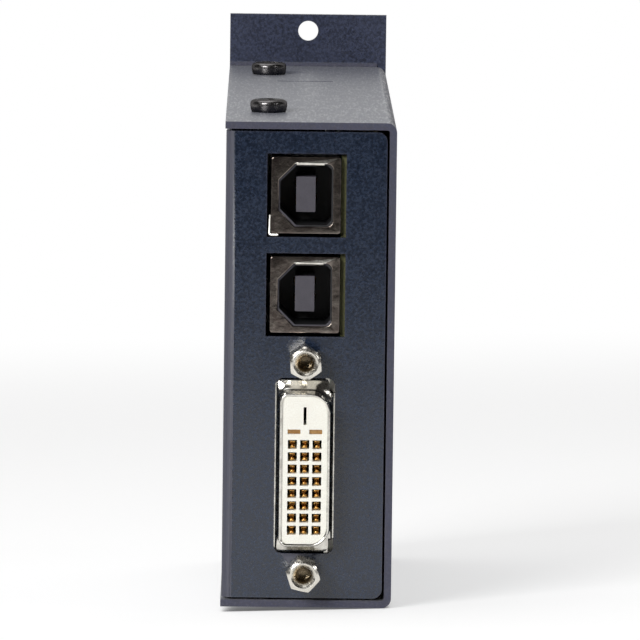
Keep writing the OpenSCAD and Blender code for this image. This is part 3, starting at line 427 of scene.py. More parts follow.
def powder_coat(name, base, pale=False):
    """Fine powder coat: grain, faint patches and rare specks, paler and rough over edges, where
    the paler colour is partly a thinner coat and partly a painted highlight.

    The chassis's copy, painted paler than the cover's for how it is lit, also has a haze, the
    streaks of the rolled sheet under it, and a painted highlight on the edges that are cut at
    the port end.
    """
    coat = bpy.context.scene.gateway_paint
    thin, grain = coat.thin_coat_and_highlight_colour, coat.grain / MM
    roughness = coat.chassis_gloss if pale else coat.gloss
    material, tree, shader, place = new_material(
        name, Roughness=roughness, Sheen_Weight=coat.haze if pale else 0.0,
        Sheen_Roughness=0.5, Specular_IOR_Level=0.5 if pale else 0.8, Coat_Roughness=0.3)
    grit = shared(tree, "Grain", place, Scale=1 / (grain * MM))
    height, patches = grit.outputs["Height"], grit.outputs["Patches"]
    tone = mix_colour(tree, spread(tree, height, 0.36, 0.64), lighter(base, 0.6),
                      lighter(base, 1.45))
    tone = mix_colour(tree, times(tree, patches, 0.3), tone, lighter(base, 1.3))
    tone = mix_colour(tree, times(tree, grit.outputs["Specks"], 0.12), tone, thin)
    # Worn edges take the paler colour: a thinner coat, and partly a painted highlight.
    wear = shared(tree, "Edge wear", place, Width=0.45 * MM, Break=0.15)
    tone = mix_colour(tree, times(tree, wear.outputs["Mask"], 0.3), tone, thin)
    # Painted highlight: bends and rounded edges, and on the chassis the cut edges at the port end,
    # take the paler colour where light catches them; they are also made rougher.
    edge = bends(tree)
    if pale:
        cut = spread(tree, parts(tree, place)["Y"], (PORT_FACE_Y - 0.08) * MM,
                     (PORT_FACE_Y - 0.14) * MM)
        edge = math_node(tree, "MAXIMUM", edge, cut)
        rolled = shared(tree, "Streaks", place, Along=ROLLED, Scale=1 / (0.8 * grain * MM))
        tree.links.new(spread(tree, rolled.outputs["Height"], 0.47, 0.68, 0.0, 0.62),
                       shader.inputs["Coat Weight"])
    tone = mix_colour(tree, times(tree, edge, 0.5), tone, thin)
    dust = shared(tree, "Dust", place, Amount=0.1)
    tone = mix_colour(tree, dust.outputs["Mask"], tone, DUST_COLOUR)
    tree.links.new(tone, shader.inputs["Base Color"])
    rough = spread(tree, height, 0.25, 0.75, roughness - 0.1, roughness + 0.03)
    rough = math_node(tree, "ADD", rough, times(tree, patches, 0.03))
    rough = math_node(tree, "ADD", rough, times(tree, edge, 0.4))
    tree.links.new(rough, shader.inputs["Roughness"])
    add_bump(tree, shader, height, coat.relief / MM)
    return material


def plated(name, base, roughness, along=ALONG_Y, stain=(0.16, 0.13, 0.1), stained=0.25,
           relief=0.004, waves=0.0, worn=1.25):
    """Plated or drawn metal: streaks, a faint tarnish, brighter edges and shallow dents.

    The streaks' relief and the dents' waves are in millimetres, and worn is how much brighter
    than its base an edge is.
    """
    material, tree, shader, place = new_material(name, Metallic=1.0, Roughness=roughness)
    streaks = shared(tree, "Streaks", place, Along=along)
    tone = mix_colour(tree, times(tree, streaks.outputs["Patches"], stained), base, stain)
    wear = shared(tree, "Edge wear", place, Width=0.12 * MM, Break=0.3)
    tone = mix_colour(tree, times(tree, wear.outputs["Mask"], 0.5), tone, lighter(base, worn))
    tree.links.new(tone, shader.inputs["Base Color"])
    height = streaks.outputs["Height"]
    tree.links.new(spread(tree, height, 0.3, 0.7, roughness * 0.75, roughness * 1.3),
                   shader.inputs["Roughness"])
    fine = add_bump(tree, shader, height, relief)
    if waves:
        dents = add_node(tree, "ShaderNodeBump", Strength=1.0, Distance=waves * MM)
        tree.links.new(noise(tree, place, 1.6, 2.0), dents.inputs["Height"])
        tree.links.new(dents.outputs[0], fine.inputs["Normal"])
    return material


def moulded(name, base, roughness, grain=0.18, relief=0.006, patch=1.3):
    """Moulded plastic: a fine spark-eroded grain, faint flow patches and rubbed edges."""
    material, tree, shader, place = new_material(name, Roughness=roughness)
    grit = shared(tree, "Grain", place, Scale=1 / (grain * MM))
    height = grit.outputs["Height"]
    tone = mix_colour(tree, spread(tree, height, 0.3, 0.7), lighter(base, 0.88),
                      lighter(base, 1.1))
    tone = mix_colour(tree, times(tree, grit.outputs["Patches"], 0.4), tone,
                      lighter(base, patch))
    wear = shared(tree, "Edge wear", place, Width=0.15 * MM, Break=0.5)
    tone = mix_colour(tree, times(tree, wear.outputs["Mask"], 0.3), tone, lighter(base, 1.6))
    tree.links.new(tone, shader.inputs["Base Color"])
    tree.links.new(spread(tree, height, 0.3, 0.7, roughness - 0.05, roughness + 0.08),
                   shader.inputs["Roughness"])
    add_bump(tree, shader, height, relief)
    return material


def black_plating(name, base):
    """Glossy black nickel with fine scuffs and a little bare metal on the edges."""
    material, tree, shader, place = new_material(
        name, Metallic=1.0, Roughness=0.24, Specular_Tint=(0.3, 0.3, 0.3, 1))
    scuffs = shared(tree, "Streaks", place, Along=EVEN, Scale=2600.0)
    wear = shared(tree, "Edge wear", place, Width=0.1 * MM, Break=0.7)
    tone = mix_colour(tree, scuffs.outputs["Patches"], base, lighter(base, 1.5))
    tone = mix_colour(tree, times(tree, wear.outputs["Mask"], 0.5), tone, lighter(base, 1.8))
    tree.links.new(tone, shader.inputs["Base Color"])
    height = scuffs.outputs["Height"]
    tree.links.new(spread(tree, height, 0.3, 0.75, 0.23, 0.33), shader.inputs["Roughness"])
    add_bump(tree, shader, height, 0.002)
    return material


def board_finish(name, mask):
    """Circuit board: solder mask over copper on its faces, bare glass laminate on its edges."""
    laminate = bpy.context.scene.gateway_plastics.laminate
    material, tree, shader, place = new_material(name, Roughness=0.35)
    across = parts(tree, surface_normal(tree))["X"]
    face = spread(tree, math_node(tree, "ABSOLUTE", across), 0.5, 0.8)
    flat = add_node(tree, "ShaderNodeMapping")
    flat.inputs["Scale"].default_value = (0.0, 1.0, 1.0)
    tree.links.new(place, flat.inputs[0])
    cells = add_node(tree, "ShaderNodeTexVoronoi", distance="CHEBYCHEV", Scale=420.0)
    tree.links.new(flat.outputs[0], cells.inputs["Vector"])
    tracks = math_node(tree, "PINGPONG", cells.outputs["Distance"], 0.09)
    copper = spread(tree, tracks, 0.03, 0.05)
    mottled = mix_colour(tree, copper, mask, lighter(mask, 2.1))
    weave = noise(tree, place, 0.25, 3.0)
    edge = mix_colour(tree, weave, lighter(laminate, 0.6), lighter(laminate, 1.5))
    tree.links.new(mix_colour(tree, face, edge, mottled), shader.inputs["Base Color"])
    tree.links.new(spread(tree, face, 0.0, 1.0, 0.75, 0.3), shader.inputs["Roughness"])
    add_bump(tree, shader, copper, 0.03)
    return material


def clear_finish(name, base, roughness, transmission):
    """Clear or frosted plastic with faint flow lines."""
    material, tree, shader, place = new_material(
        name, Roughness=roughness, Transmission_Weight=transmission, IOR=1.49)
    grit = shared(tree, "Grain", place, Scale=1 / (0.4 * MM))
    tone = mix_colour(tree, grit.outputs["Patches"], base, lighter(base, 0.86))
    tree.links.new(tone, shader.inputs["Base Color"])
    height = grit.outputs["Height"]
    tree.links.new(spread(tree, height, 0.3, 0.7, roughness * 0.8, roughness * 1.3 + 0.02),
                   shader.inputs["Roughness"])
    add_bump(tree, shader, height, 0.004)
    return material


PAINT, METALS, PLASTICS = "gateway_paint", "gateway_metals", "gateway_plastics"

# Each finish: what makes it, the property group and the name of its colour, and its settings.
FINISHES = {
    # The chassis's finish is the paler copy of the one coat: painted lightening for how it is lit.
    "case_paint": (powder_coat, PAINT, "chassis_colour", dict(pale=True)),
    "cover_paint": (powder_coat, PAINT, "cover_colour", {}),
    "zinc_steel": (plated, METALS, "zinc", dict(roughness=0.34)),
    "black_screw": (black_plating, METALS, "black", {}),
    "brass_spacer": (plated, METALS, "brass", dict(roughness=0.3, along=ALONG_X)),
    "connector_steel": (plated, METALS, "tin", dict(
        roughness=0.2, stained=0.4, relief=0.003, waves=0.035)),
    "formed_steel": (plated, METALS, "formed", dict(
        roughness=0.2, stain=(0.08, 0.055, 0.05), stained=0.6, relief=0.008, waves=0.05,
        worn=3.2)),
    "bright_tab": (plated, METALS, "tab", dict(roughness=0.42, stained=0.2)),
    "thread_steel": (plated, METALS, "thread", dict(roughness=0.3, stained=0.5)),
    "gilt_contact": (plated, METALS, "gilt", dict(
        roughness=0.26, stain=(0.3, 0.12, 0.03), stained=0.2)),
    "worn_gilt": (plated, METALS, "worn_gilt", dict(
        roughness=0.34, stain=(0.2, 0.07, 0.02), stained=0.5)),
    "nickel_screw": (plated, METALS, "nickel", dict(
        roughness=0.26, along=ROLLED, stained=0.15, relief=0.003)),
    "black_aluminium": (plated, METALS, "heat_sink", dict(roughness=0.42, along=ALONG_X)),
    "can_aluminium": (plated, METALS, "can", dict(roughness=0.28, along=ALONG_X)),
    "board_laminate": (board_finish, PLASTICS, "mask", {}),
    "black_plastic": (moulded, PLASTICS, "black", dict(roughness=0.5)),
    "usb_tongue": (moulded, PLASTICS, "tongue", dict(roughness=0.45)),
    "ivory_plastic": (moulded, PLASTICS, "ivory", dict(roughness=0.42, patch=0.93)),
    "button_plastic": (moulded, PLASTICS, "button", dict(roughness=0.4)),
    "chip_plastic": (moulded, PLASTICS, "epoxy", dict(roughness=0.55, relief=0.01)),
    "pad_rubber": (moulded, PLASTICS, "pad", dict(roughness=0.7)),
    "ferrite": (moulded, PLASTICS, "ferrite", dict(roughness=0.75, grain=0.25, relief=0.03)),
    "lens_plastic": (clear_finish, PLASTICS, "lens", dict(roughness=0.3, transmission=0.35)),
    "clear_plastic": (clear_finish, PLASTICS, "pipe", dict(roughness=0.2, transmission=0.45)),
}


def finish(name):
    """The named finish, made the first time that it is asked for."""
    label = name.replace("_", " ")
    found = bpy.data.materials.get(label)
    if found:
        return found
    make, group, key, settings = FINISHES[name]
    return make(label, getattr(getattr(bpy.context.scene, group), key), **settings)


# ---------------------------------------------------------------- mesh helpers


def round_edges(bm, edges, radius, segments=2):
    bmesh.ops.bevel(bm, geom=edges, offset=radius, offset_type="OFFSET", affect="EDGES",
                    segments=segments, profile=0.5, material=-1, clamp_overlap=True)


def sharp_edges(bm, angle=40):
    bm.normal_update()
    return [e for e in bm.edges if e.is_manifold and e.calc_face_angle(0) > math.radians(angle)]


def add_piece(bm, name, slot, stands_for=(), body=BODY, material=None, sharp=55):
    """Makes the mesh an object in metres, with its finish (the slot's unless another is given), its
    body, and the packed nodes that it stands for hidden.
    """
    bmesh.ops.scale(bm, vec=(MM, MM, MM), verts=bm.verts)
    mesh = bpy.data.meshes.new(name)
    bm.to_mesh(mesh)
    bm.free()
    if not mesh.polygons:
        raise RuntimeError(f"{name} came out empty")
    mesh.shade_smooth()
    mesh.set_sharp_from_angle(angle=math.radians(sharp))
    mesh.materials.append(finish(material or slot))
    piece = bpy.data.objects.new(name, mesh)
    bpy.context.scene.collection.objects.link(piece)
    normals = piece.modifiers.new("Flat faces", "WEIGHTED_NORMAL")
    normals.keep_sharp = True
    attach(piece, body)
    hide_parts(*stands_for)
    return piece


def node_bmesh(node):
    """A merged copy of a packed node's mesh, in millimetres, with its flat faces whole."""
    bm = bmesh.new()
    bm.from_mesh(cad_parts[node].data)
    bmesh.ops.scale(bm, vec=(1 / MM, 1 / MM, 1 / MM), verts=bm.verts)
    bmesh.ops.remove_doubles(bm, verts=bm.verts, dist=0.002)
    bmesh.ops.dissolve_limit(bm, angle_limit=math.radians(0.4), use_dissolve_boundaries=False,
                             verts=bm.verts, edges=bm.edges, delimit={"NORMAL"})
    return bm


def rounded_node(node, name, radius, slot, segments=2, body=BODY):
    """A packed node with its sharp edges rounded."""
    bm = node_bmesh(node)
    round_edges(bm, sharp_edges(bm), radius, segments)
    return add_piece(bm, name, slot, (node,), body)


def rounded_nodes(*rows):
    """Rounds packed nodes, each given with its new name, its radius and its slot."""
    for row in rows:
        rounded_node(*row)


def paint_box(piece, low, high, finish_name):
    """Gives the faces whose middle lies between two corners a finish of their own."""
    if finish(finish_name).name not in piece.data.materials:
        piece.data.materials.append(finish(finish_name))
    index = piece.data.materials.find(finish(finish_name).name)
    for face in piece.data.polygons:
        if all(a < c / MM < b for a, c, b in zip(low, face.center, high)):
            face.material_index = index


def lathe(profile, steps):
    """A new mesh: a profile of (radius, height) points turned round the local Z axis."""
    bm = bmesh.new()
    points = [bm.verts.new((r, 0, h)) for r, h in profile]
    edges = [bm.edges.new(pair) for pair in zip(points, points[1:])]
    bmesh.ops.spin(bm, geom=points + edges, cent=(0, 0, 0), axis=(0, 0, 1), angle=2 * math.pi,
                   steps=steps, use_merge=True, use_normal_flip=False, use_duplicate=False)
    bmesh.ops.remove_doubles(bm, verts=bm.verts, dist=0.0005)
    bmesh.ops.recalc_face_normals(bm, faces=bm.faces)
    return bm


def thread(crest, root, pitch, start, end):
    """Profile points of a thread's ridges between two heights, roots at both ends."""
    turns = max(1, int(abs(end - start) / pitch))
    step = (end - start) / turns
    points = []
    for i in range(turns):
        points += [(root, start + step * i), (crest, start + step * (i + 0.42)),
                   (crest, start + step * (i + 0.58))]
    return points + [(root, end)]


def touched(faces):
    """The faces with their edges and corners, each once."""
    return list(dict.fromkeys(g for f in faces for g in (f, *f.edges, *f.verts)))


def cut_cross(bm, top, span, width, depth, turn):
    """Sinks a cross drive into the head whose top is at that height on the local Z axis."""
    margin, taper = 0.7, 0.72
    bmesh.ops.rotate(bm, cent=(0, 0, 0), matrix=Matrix.Rotation(-turn, 3, "Z"), verts=bm.verts)
    bm.normal_update()
    near = [f for f in bm.faces if f.calc_center_median().z > top - depth
            and max(v.co.xy.length for v in f.verts) < span / 2 + margin]
    for axis in ((1, 0, 0), (0, 1, 0)):
        for offset in (-span / 2, -width / 2, width / 2, span / 2):
            cut = bmesh.ops.bisect_plane(bm, geom=touched(near), dist=1e-5, plane_no=axis,
                                         plane_co=Vector(axis) * offset)
            near = [g for g in cut["geom"] if isinstance(g, bmesh.types.BMFace)]
    bm.normal_update()
    arms = []
    for f in near:
        x, y = (abs(c) for c in f.calc_center_median().xy)
        if f.normal.z > 0 and min(x, y) < width / 2 and max(x, y) < span / 2:
            arms.append(f)
    sunk = bmesh.ops.extrude_face_region(bm, geom=arms)
    low = [g for g in sunk["geom"] if isinstance(g, bmesh.types.BMVert)]
    bmesh.ops.delete(bm, geom=arms, context="FACES")
    for v in low:
        v.co.z = top - depth
    bmesh.ops.scale(bm, vec=(taper, taper, 1), verts=low)
    bmesh.ops.rotate(bm, cent=(0, 0, 0), matrix=Matrix.Rotation(turn, 3, "Z"), verts=bm.verts)


def place(bm, source, matrix=Matrix.Identity(4)):
    """Adds a copy of another mesh, moved by a matrix."""
    mesh = bpy.data.meshes.new("template")
    source.to_mesh(mesh)
    old = set(bm.verts)
    bm.from_mesh(mesh)
    bpy.data.meshes.remove(mesh)
    bmesh.ops.transform(bm, matrix=matrix, verts=[v for v in bm.verts if v not in old])


def facing(point, direction):
    """A matrix that puts the local Z axis on a direction and the origin at a point."""
    turn = Vector(direction).to_track_quat("Z", "Y").to_matrix().to_4x4()
    return Matrix.Translation(point) @ turn


def block(bm, low, high):
    """A box between two corners; returns its vertices."""
    low, high = Vector(low), Vector(high)
    size = high - low
    matrix = Matrix.Translation((low + high) / 2) @ Matrix.Diagonal((*size, 1))
    return bmesh.ops.create_cube(bm, size=1, matrix=matrix)["verts"]


def rounded_outline(width, height, left, right, steps):
    """Points round a plate whose left and right corners have their own radii."""
    points = []
    for side, end, radius, start in ((1, 1, right, 0), (-1, 1, left, 90), (-1, -1, left, 180),
                                     (1, -1, right, 270)):
        x, z = side * (width / 2 - radius), end * (height / 2 - radius)
        for i in range(steps + 1):
            t = math.radians(start + 90 * i / steps)
            points.append((x + radius * math.cos(t), z + radius * math.sin(t)))
    return points


def notched_outline(half_w, half_h, start, narrow):
    """As rounded_outline with 8 steps, but the right side is cut back beyond a height."""
    inner, r = half_w - narrow, 0.55
    right = [(half_w, start), (half_w - narrow * 0.4, start), (half_w - narrow * 0.8, start),
             (inner, start + 0.1), (inner, (start + half_h) / 2), (inner, half_h - r)]
    for t in (math.radians(a) for a in (30, 60, 90)):
        right.append((inner - r + r * math.cos(t), half_h - r + r * math.sin(t)))
    left = rounded_outline(2 * half_w, 2 * half_h, 0.35, 0.35, 8)[9:27]
    return right + left + [(x, -z) for x, z in reversed(right)]


def ring(bm, outline, y):
    """A closed loop of edges in a plane across Y."""
    verts = [bm.verts.new((x, y, z)) for x, z in outline]
    return [bm.edges.new((verts[i - 1], verts[i])) for i in range(len(verts))]


def skin(bm, rings):
    """Bridges each ring to the next."""
    for first, second in zip(rings, rings[1:]):
        bmesh.ops.bridge_loops(bm, edges=first + second)


# ---------------------------------------------------------------- case


class GATEWAY_OT_case(Operator):
    """Paints the folded chassis and cover and rounds their sheet edges"""

    bl_idname = "gateway.case"
    bl_label = "Folded case"

    def execute(self, context):
        edge = context.scene.gateway_paint.edge / MM
        rounded_node("chassis", "chassis_folded", edge, "case_paint", 3)
        rounded_node("cover", "cover_folded", edge * 0.7, "cover_paint", 2)
        return {"FINISHED"}


# ---------------------------------------------------------------- screws


def pan_profile(radius, height, rounding, shank, depth, pitch):
    """Half section of a pan-head screw: dome, rounded rim, seat and threaded shank."""
    dome, rise = height * 0.05, rounding * 0.72
    rim, seat = radius - rounding, height - dome - rise
    points = [(0, height), (radius * 0.4, height - dome * 0.2), (rim, height - dome)]
    for t in (math.radians(a) for a in (72, 52, 34, 16, 0)):
        points.append((rim + rounding * math.cos(t), seat + rise * math.sin(t)))
    points += [(radius - 0.02, seat * 0.62), (radius - 0.09, seat * 0.3), (radius - 0.2, 0.06),
               (radius - 0.26, 0), (shank, 0), (shank, -0.3)]
    points += thread(shank, shank - pitch * 0.42, pitch, -0.45, 0.55 - depth)
    return points + [(shank - pitch * 0.6, -depth), (0, -depth)]


class GATEWAY_OT_case_screws(Operator):
    """Turns the four glossy pan-head screws that hold the cover"""

    bl_idname = "gateway.case_screws"
    bl_label = "Case screws"

    def execute(self, context):
        s = context.scene.gateway_screws
        shank, depth = 1.45, 5
        drive = s.drive_length / MM, s.drive_width / MM, s.drive_depth / MM
        for node, name, side in (("case_screws_upper", "pan_screws_top", 1),
                                 ("case_screws_lower", "pan_screws_bottom", -1)):
            low, high = corners(node)
            x, radius = (low.x + high.x) / 2, (high.x - low.x) / 2
            seat = low.z + depth if side > 0 else high.z - depth
            head = (high.z if side > 0 else -low.z) - abs(seat)
            profile = pan_profile(radius, head, s.head_round / MM, shank, depth, s.pitch / MM)
            bm = bmesh.new()
            for y, turn in ((low.y + radius, 0.35), (high.y - radius, 1.1)):
                one = lathe(profile, s.steps)
                cut_cross(one, head, *drive, turn)
                place(bm, one, facing((x, y, seat), (0, 0, side)))
                one.free()
            add_piece(bm, name, "black_screw", (node,))
        return {"FINISHED"}


class GATEWAY_OT_base_screws(Operator):
    """Turns the countersunk screws in the large wall and the screws that hold the board"""

    bl_idname = "gateway.base_screws"
    bl_label = "Base and board screws"

    def execute(self, context):
        steps = context.scene.gateway_screws.steps
        low, high = corners("base_screws")
        depth, board_depth = high.x - low.x, corners("board_screws")[1].x - BOARD_FACE_X
        head, shank, pitch = 2.2, 1.2, 0.45
        flat = [(0, 0), (0.9, 0), (1.5, 0), (head - 0.12, 0), (head, -0.08), (shank, -1.0)]
        flat += thread(shank, shank - 0.19, pitch, -1.15, 0.5 - depth)
        flat += [(0.9, -depth), (0, -depth)]
        pan_height = 1.8
        pan = pan_profile(2.4, pan_height, 0.7, shank, board_depth, pitch)
        drive_length, drive_width = 2.4, 0.6
        spots = [(y, z) for y in (low.y + head, high.y - head)
                 for z in (low.z + head, high.z - head)]
        sunk, pans = bmesh.new(), bmesh.new()
        for i, (y, z) in enumerate(spots):
            one = lathe(flat, steps)
            cut_cross(one, 0, drive_length, drive_width, 0.85, 0.5 + 0.9 * i)
            place(sunk, one, facing((high.x, y, z), (1, 0, 0)))
            one.free()
            one = lathe(pan, steps)
            cut_cross(one, pan_height, drive_length, drive_width, 0.9, 0.2 + 0.7 * i)
            place(pans, one, facing((BOARD_FACE_X, y, z), (-1, 0, 0)))
            one.free()
        add_piece(sunk, "countersunk_screws", "black_screw", ("base_screws",))
        add_piece(pans, "board_pan_screws", "zinc_steel", ("board_screws",))
        return {"FINISHED"}


def hexagon_cut(bm, flats, turn, low):
    """Cuts a turned bar to a hexagon above a height on the local Z axis."""
    for i in range(6):
        t = turn + math.radians(60 * i)
        out = Vector((math.cos(t), math.sin(t), 0))
        above = [f for f in bm.faces if f.calc_center_median().z > low]
        bmesh.ops.bisect_plane(bm, geom=touched(above), dist=1e-5, plane_co=out * flats / 2,
                               plane_no=out, clear_outer=True)
        bmesh.ops.holes_fill(bm, edges=[e for e in bm.edges if e.is_boundary], sides=0)
    bmesh.ops.recalc_face_normals(bm, faces=bm.faces)


class GATEWAY_OT_jack_screws(Operator):
    """Turns the two hexagonal jack screws beside the video socket, each with its bore"""

    bl_idname = "gateway.jack_screws"
    bl_label = "Jack screws"

    def execute(self, context):
        s = context.scene.gateway_screws
        flats, pitch = s.jack_flats / MM, s.jack_pitch / MM
        outer = flats / 2 / math.cos(math.radians(30))
        bore, stem = 1.2, 1.4
        for node, name, turn in (("jack_screw_upper", "jack_screw_upper_hex", 0.07),
                                 ("jack_screw_lower", "jack_screw_lower_hex", 0.31)):
            low, high = corners(node)
            x, z = (low.x + high.x) / 2, (low.z + high.z) / 2
            proud, stud = PORT_FACE_Y - low.y, high.y - PORT_FACE_Y
            profile = [(0, proud - 5.3), (1.05, proud - 4.75)]
            profile += thread(bore, 1.42, pitch, proud - 4.7, proud - 0.8)
            profile += [(r, proud - sunk) for r, sunk in (
                (bore, 0.72), (1.26, 0.6), (1.86, 0.04), (1.92, 0), (2.04, 0), (2.1, 0.03),
                (outer * 0.93, 0.32), (outer, 0.62))]
            profile += [(outer, 0), (stem, 0)]
            profile += thread(stem, stem - 0.25, pitch, -0.2, 0.4 - stud)
            profile += [(0.95, -stud), (0, -stud)]
            bm = lathe(profile, s.steps)
            hexagon_cut(bm, flats, turn, 0.01)
            corner_edges = [
                e for e in bm.edges if e.is_manifold and e.calc_face_angle(0) > math.radians(35)
                and abs((e.verts[0].co - e.verts[1].co).normalized().z) > 0.9
                and min(v.co.z for v in e.verts) > -0.01 and e.verts[0].co.xy.length > 2.3]
            round_edges(bm, corner_edges, 0.1, 2)
            matrix = facing((x, PORT_FACE_Y, z), (0, -1, 0))
            bmesh.ops.transform(bm, matrix=matrix, verts=bm.verts)
            screw = add_piece(bm, name, "nickel_screw", (node,), sharp=32)
            # The bores take the darker metal: painted shade in the recess.
            reach = bore + 0.3
            paint_box(screw, (x - reach, low.y + 0.62, z - reach),
                      (x + reach, low.y + 5.4, z + reach), "thread_steel")
        return {"FINISHED"}


# ---------------------------------------------------------------- USB sockets


def usb_mouth(inset):
    """Mouth of a square USB socket: two cut corners on the left, two round ones on the right."""
    half_w, half_h = 4.2 - inset, 4.85 - inset
    cut, r = 2.5 - 0.58 * inset, 0.95 - inset
    points = [(-half_w, half_h - cut), (cut - half_w, half_h)]
    for side, angles in ((1, (90, 60, 30, 0)), (-1, (0, -30, -60, -90))):
        for t in (math.radians(a) for a in angles):
            points.append((half_w - r + r * math.cos(t), side * (half_h - r) + r * math.sin(t)))
    return points + [(cut - half_w, -half_h), (-half_w, cut - half_h)]


def strip(path, axis, start, width, thickness):
    """A bent strip: a path of points, drawn out along an axis and thickened, edges rounded."""
    bm = bmesh.new()
    verts = [bm.verts.new(point) for point in path]
    edges = [bm.edges.new(pair) for pair in zip(verts, verts[1:])]
    made = bmesh.ops.extrude_edge_only(bm, edges=edges)["geom"]
    out = Vector(axis)
    bmesh.ops.translate(bm, vec=out * width,
                        verts=[g for g in made if isinstance(g, bmesh.types.BMVert)])
    bmesh.ops.translate(bm, vec=out * start, verts=bm.verts)
    bmesh.ops.recalc_face_normals(bm, faces=bm.faces)
    bmesh.ops.solidify(bm, geom=list(bm.faces), thickness=thickness)
    round_edges(bm, sharp_edges(bm, 60), thickness * 0.36, 3)
    return bm


def add_strip(bm, *shape):
    one = strip(*shape)
    place(bm, one)
    one.free()


class GATEWAY_OT_usb_sockets(Operator):
    """Forms the two square USB shells with rolled lips and fingers, and their insulators"""

    bl_idname = "gateway.usb_sockets"
    bl_label = "USB sockets"

    def execute(self, context):
        s = context.scene.gateway_sockets
        half_x, leaf_reach = 5.45, 1.48
        for end in ("upper", "lower"):
            node = f"usb_shell_{end}"
            low, high = corners(node)
            x, y, z = high.x - half_x, low.y, (low.z + high.z) / 2
            bm = self.shell(half_x, (high.z - low.z) / 2, high.y - y, s.lip / MM, s.sheet / MM)
            self.fingers(bm, half_x)
            if end == "upper":
                self.corner_tab(bm)
            bmesh.ops.translate(bm, vec=(x, y, z), verts=bm.verts)
            shell = add_piece(bm, f"{node}_formed", "connector_steel", (node,),
                              material="formed_steel", sharp=40)
            # The rolled top tab keeps the bright tin: a painted highlight on the shaded shell.
            paint_box(shell, (x - 1.55, y - 0.3, z + 4.5), (x + 2.9, y + 0.24, z + 5.4),
                      "connector_steel")
            if end == "upper":
                # The corner tab in its brighter copy of the tin: partly a painted highlight.
                paint_box(shell, (x - 6, y - 0.8, z - 6.6), (x - 5.46, y + 2, z - 2.9),
                          "bright_tab")
                paint_box(shell, (x - 5.5, y - 0.8, z - 6.6), (x - 4, y + 2, z - 6.01),
                          "bright_tab")
            body = rounded_node(f"usb_body_{end}", f"usb_insulator_{end}", 0.12, "black_plastic")
            paint_box(body, (x - 1.6, y, z - 2.85), (x + 1.6, y + 8, z + 2.85), "usb_tongue")
            leaves = node_bmesh(f"usb_contacts_{end}")
            for v in leaves.verts:
                if v.co.y < y + 9 and abs(v.co.x - x) > leaf_reach:
                    v.co.x = x + math.copysign(leaf_reach, v.co.x - x)
            add_piece(leaves, f"usb_contact_leaves_{end}", "gilt_contact",
                      (f"usb_contacts_{end}",))
        return {"FINISHED"}

    def shell(self, half_x, half_z, deep, lip, sheet):
        """A box of sheet with a rolled lip round its mouth, open towards the board."""
        bm = bmesh.new()
        rings = [ring(bm, usb_mouth(0.05), 1.5), ring(bm, usb_mouth(0), lip)]
        for t in (math.radians(a) for a in (30, 60, 90)):
            rings.append(ring(bm, usb_mouth(-lip * (1 - math.cos(t))), lip * (1 - math.sin(t))))
        bend, corner, walls = 0.22, 0.5, []
        for t in (math.radians(a) for a in (90, 60, 30, 0)):
            inset = bend * (1 - math.cos(t))
            radius = max(0.1, corner - inset)
            outline = rounded_outline(2 * (half_x - inset), 2 * (half_z - inset), radius, radius, 3)
            walls.append(ring(bm, outline, bend * (1 - math.sin(t))))
        walls.append(ring(bm, rounded_outline(2 * half_x, 2 * half_z, corner, corner, 3), deep))
        skin(bm, rings)
        skin(bm, walls)
        bmesh.ops.triangle_fill(bm, edges=rings[-1] + walls[0], use_beauty=True)
        bmesh.ops.edgeloop_fill(bm, edges=walls[-1])
        bmesh.ops.recalc_face_normals(bm, faces=bm.faces)
        bm.normal_update()
        board_side = [f for f in bm.faces if f.normal.x > 0.99 and f.calc_center_median().y > 3]
        bmesh.ops.delete(bm, geom=board_side, context="FACES")
        bmesh.ops.solidify(bm, geom=list(bm.faces), thickness=sheet)
        return bm

    def fingers(self, bm, half_x):
        """Two spring fingers in the wall away from the board, and the rolled tab at the top."""
        finger = [(0.1, 3.4), (-0.04, 3.0), (-0.2, 2.3), (-0.25, 1.6), (-0.16, 0.9), (0.06, 0.45)]
        for z in (-2.5, 2.5):
            add_strip(bm, [(x - half_x, y, 0) for x, y in finger], (0, 0, 1), z - 0.7, 1.4, 0.16)
        roll = 0.5
        rolled = [(0, 0.45 - roll * math.cos(t), 5.12 - roll * math.sin(t))
                  for t in (math.radians(a) for a in range(0, 91, 15))]
        add_strip(bm, rolled, (1, 0, 0), -1.5, 4.34, 0.12)

    def corner_tab(self, bm):
        """The sheared tab that turns round the upper shell's low corner, its front tilted."""
        path = [(-5.5, -3.0), (-5.76, -3.2), (-5.8, -4.2), (-5.8, -5.9), (-5.66, -6.22),
                (-5.3, -6.32), (-4.3, -6.3), (-4.15, -6.02)]
        tab = strip([(x, 0, z) for x, z in path], (0, 1, 0), -0.1, 1.6, 0.34)
        for v in tab.verts:
            if v.co.y < 0.7:
                v.co.y -= 0.24 * (v.co.x + 5.6) - 0.2 * (v.co.z + 6.3)
        place(bm, tab)
        tab.free()


# ---------------------------------------------------------------- video socket


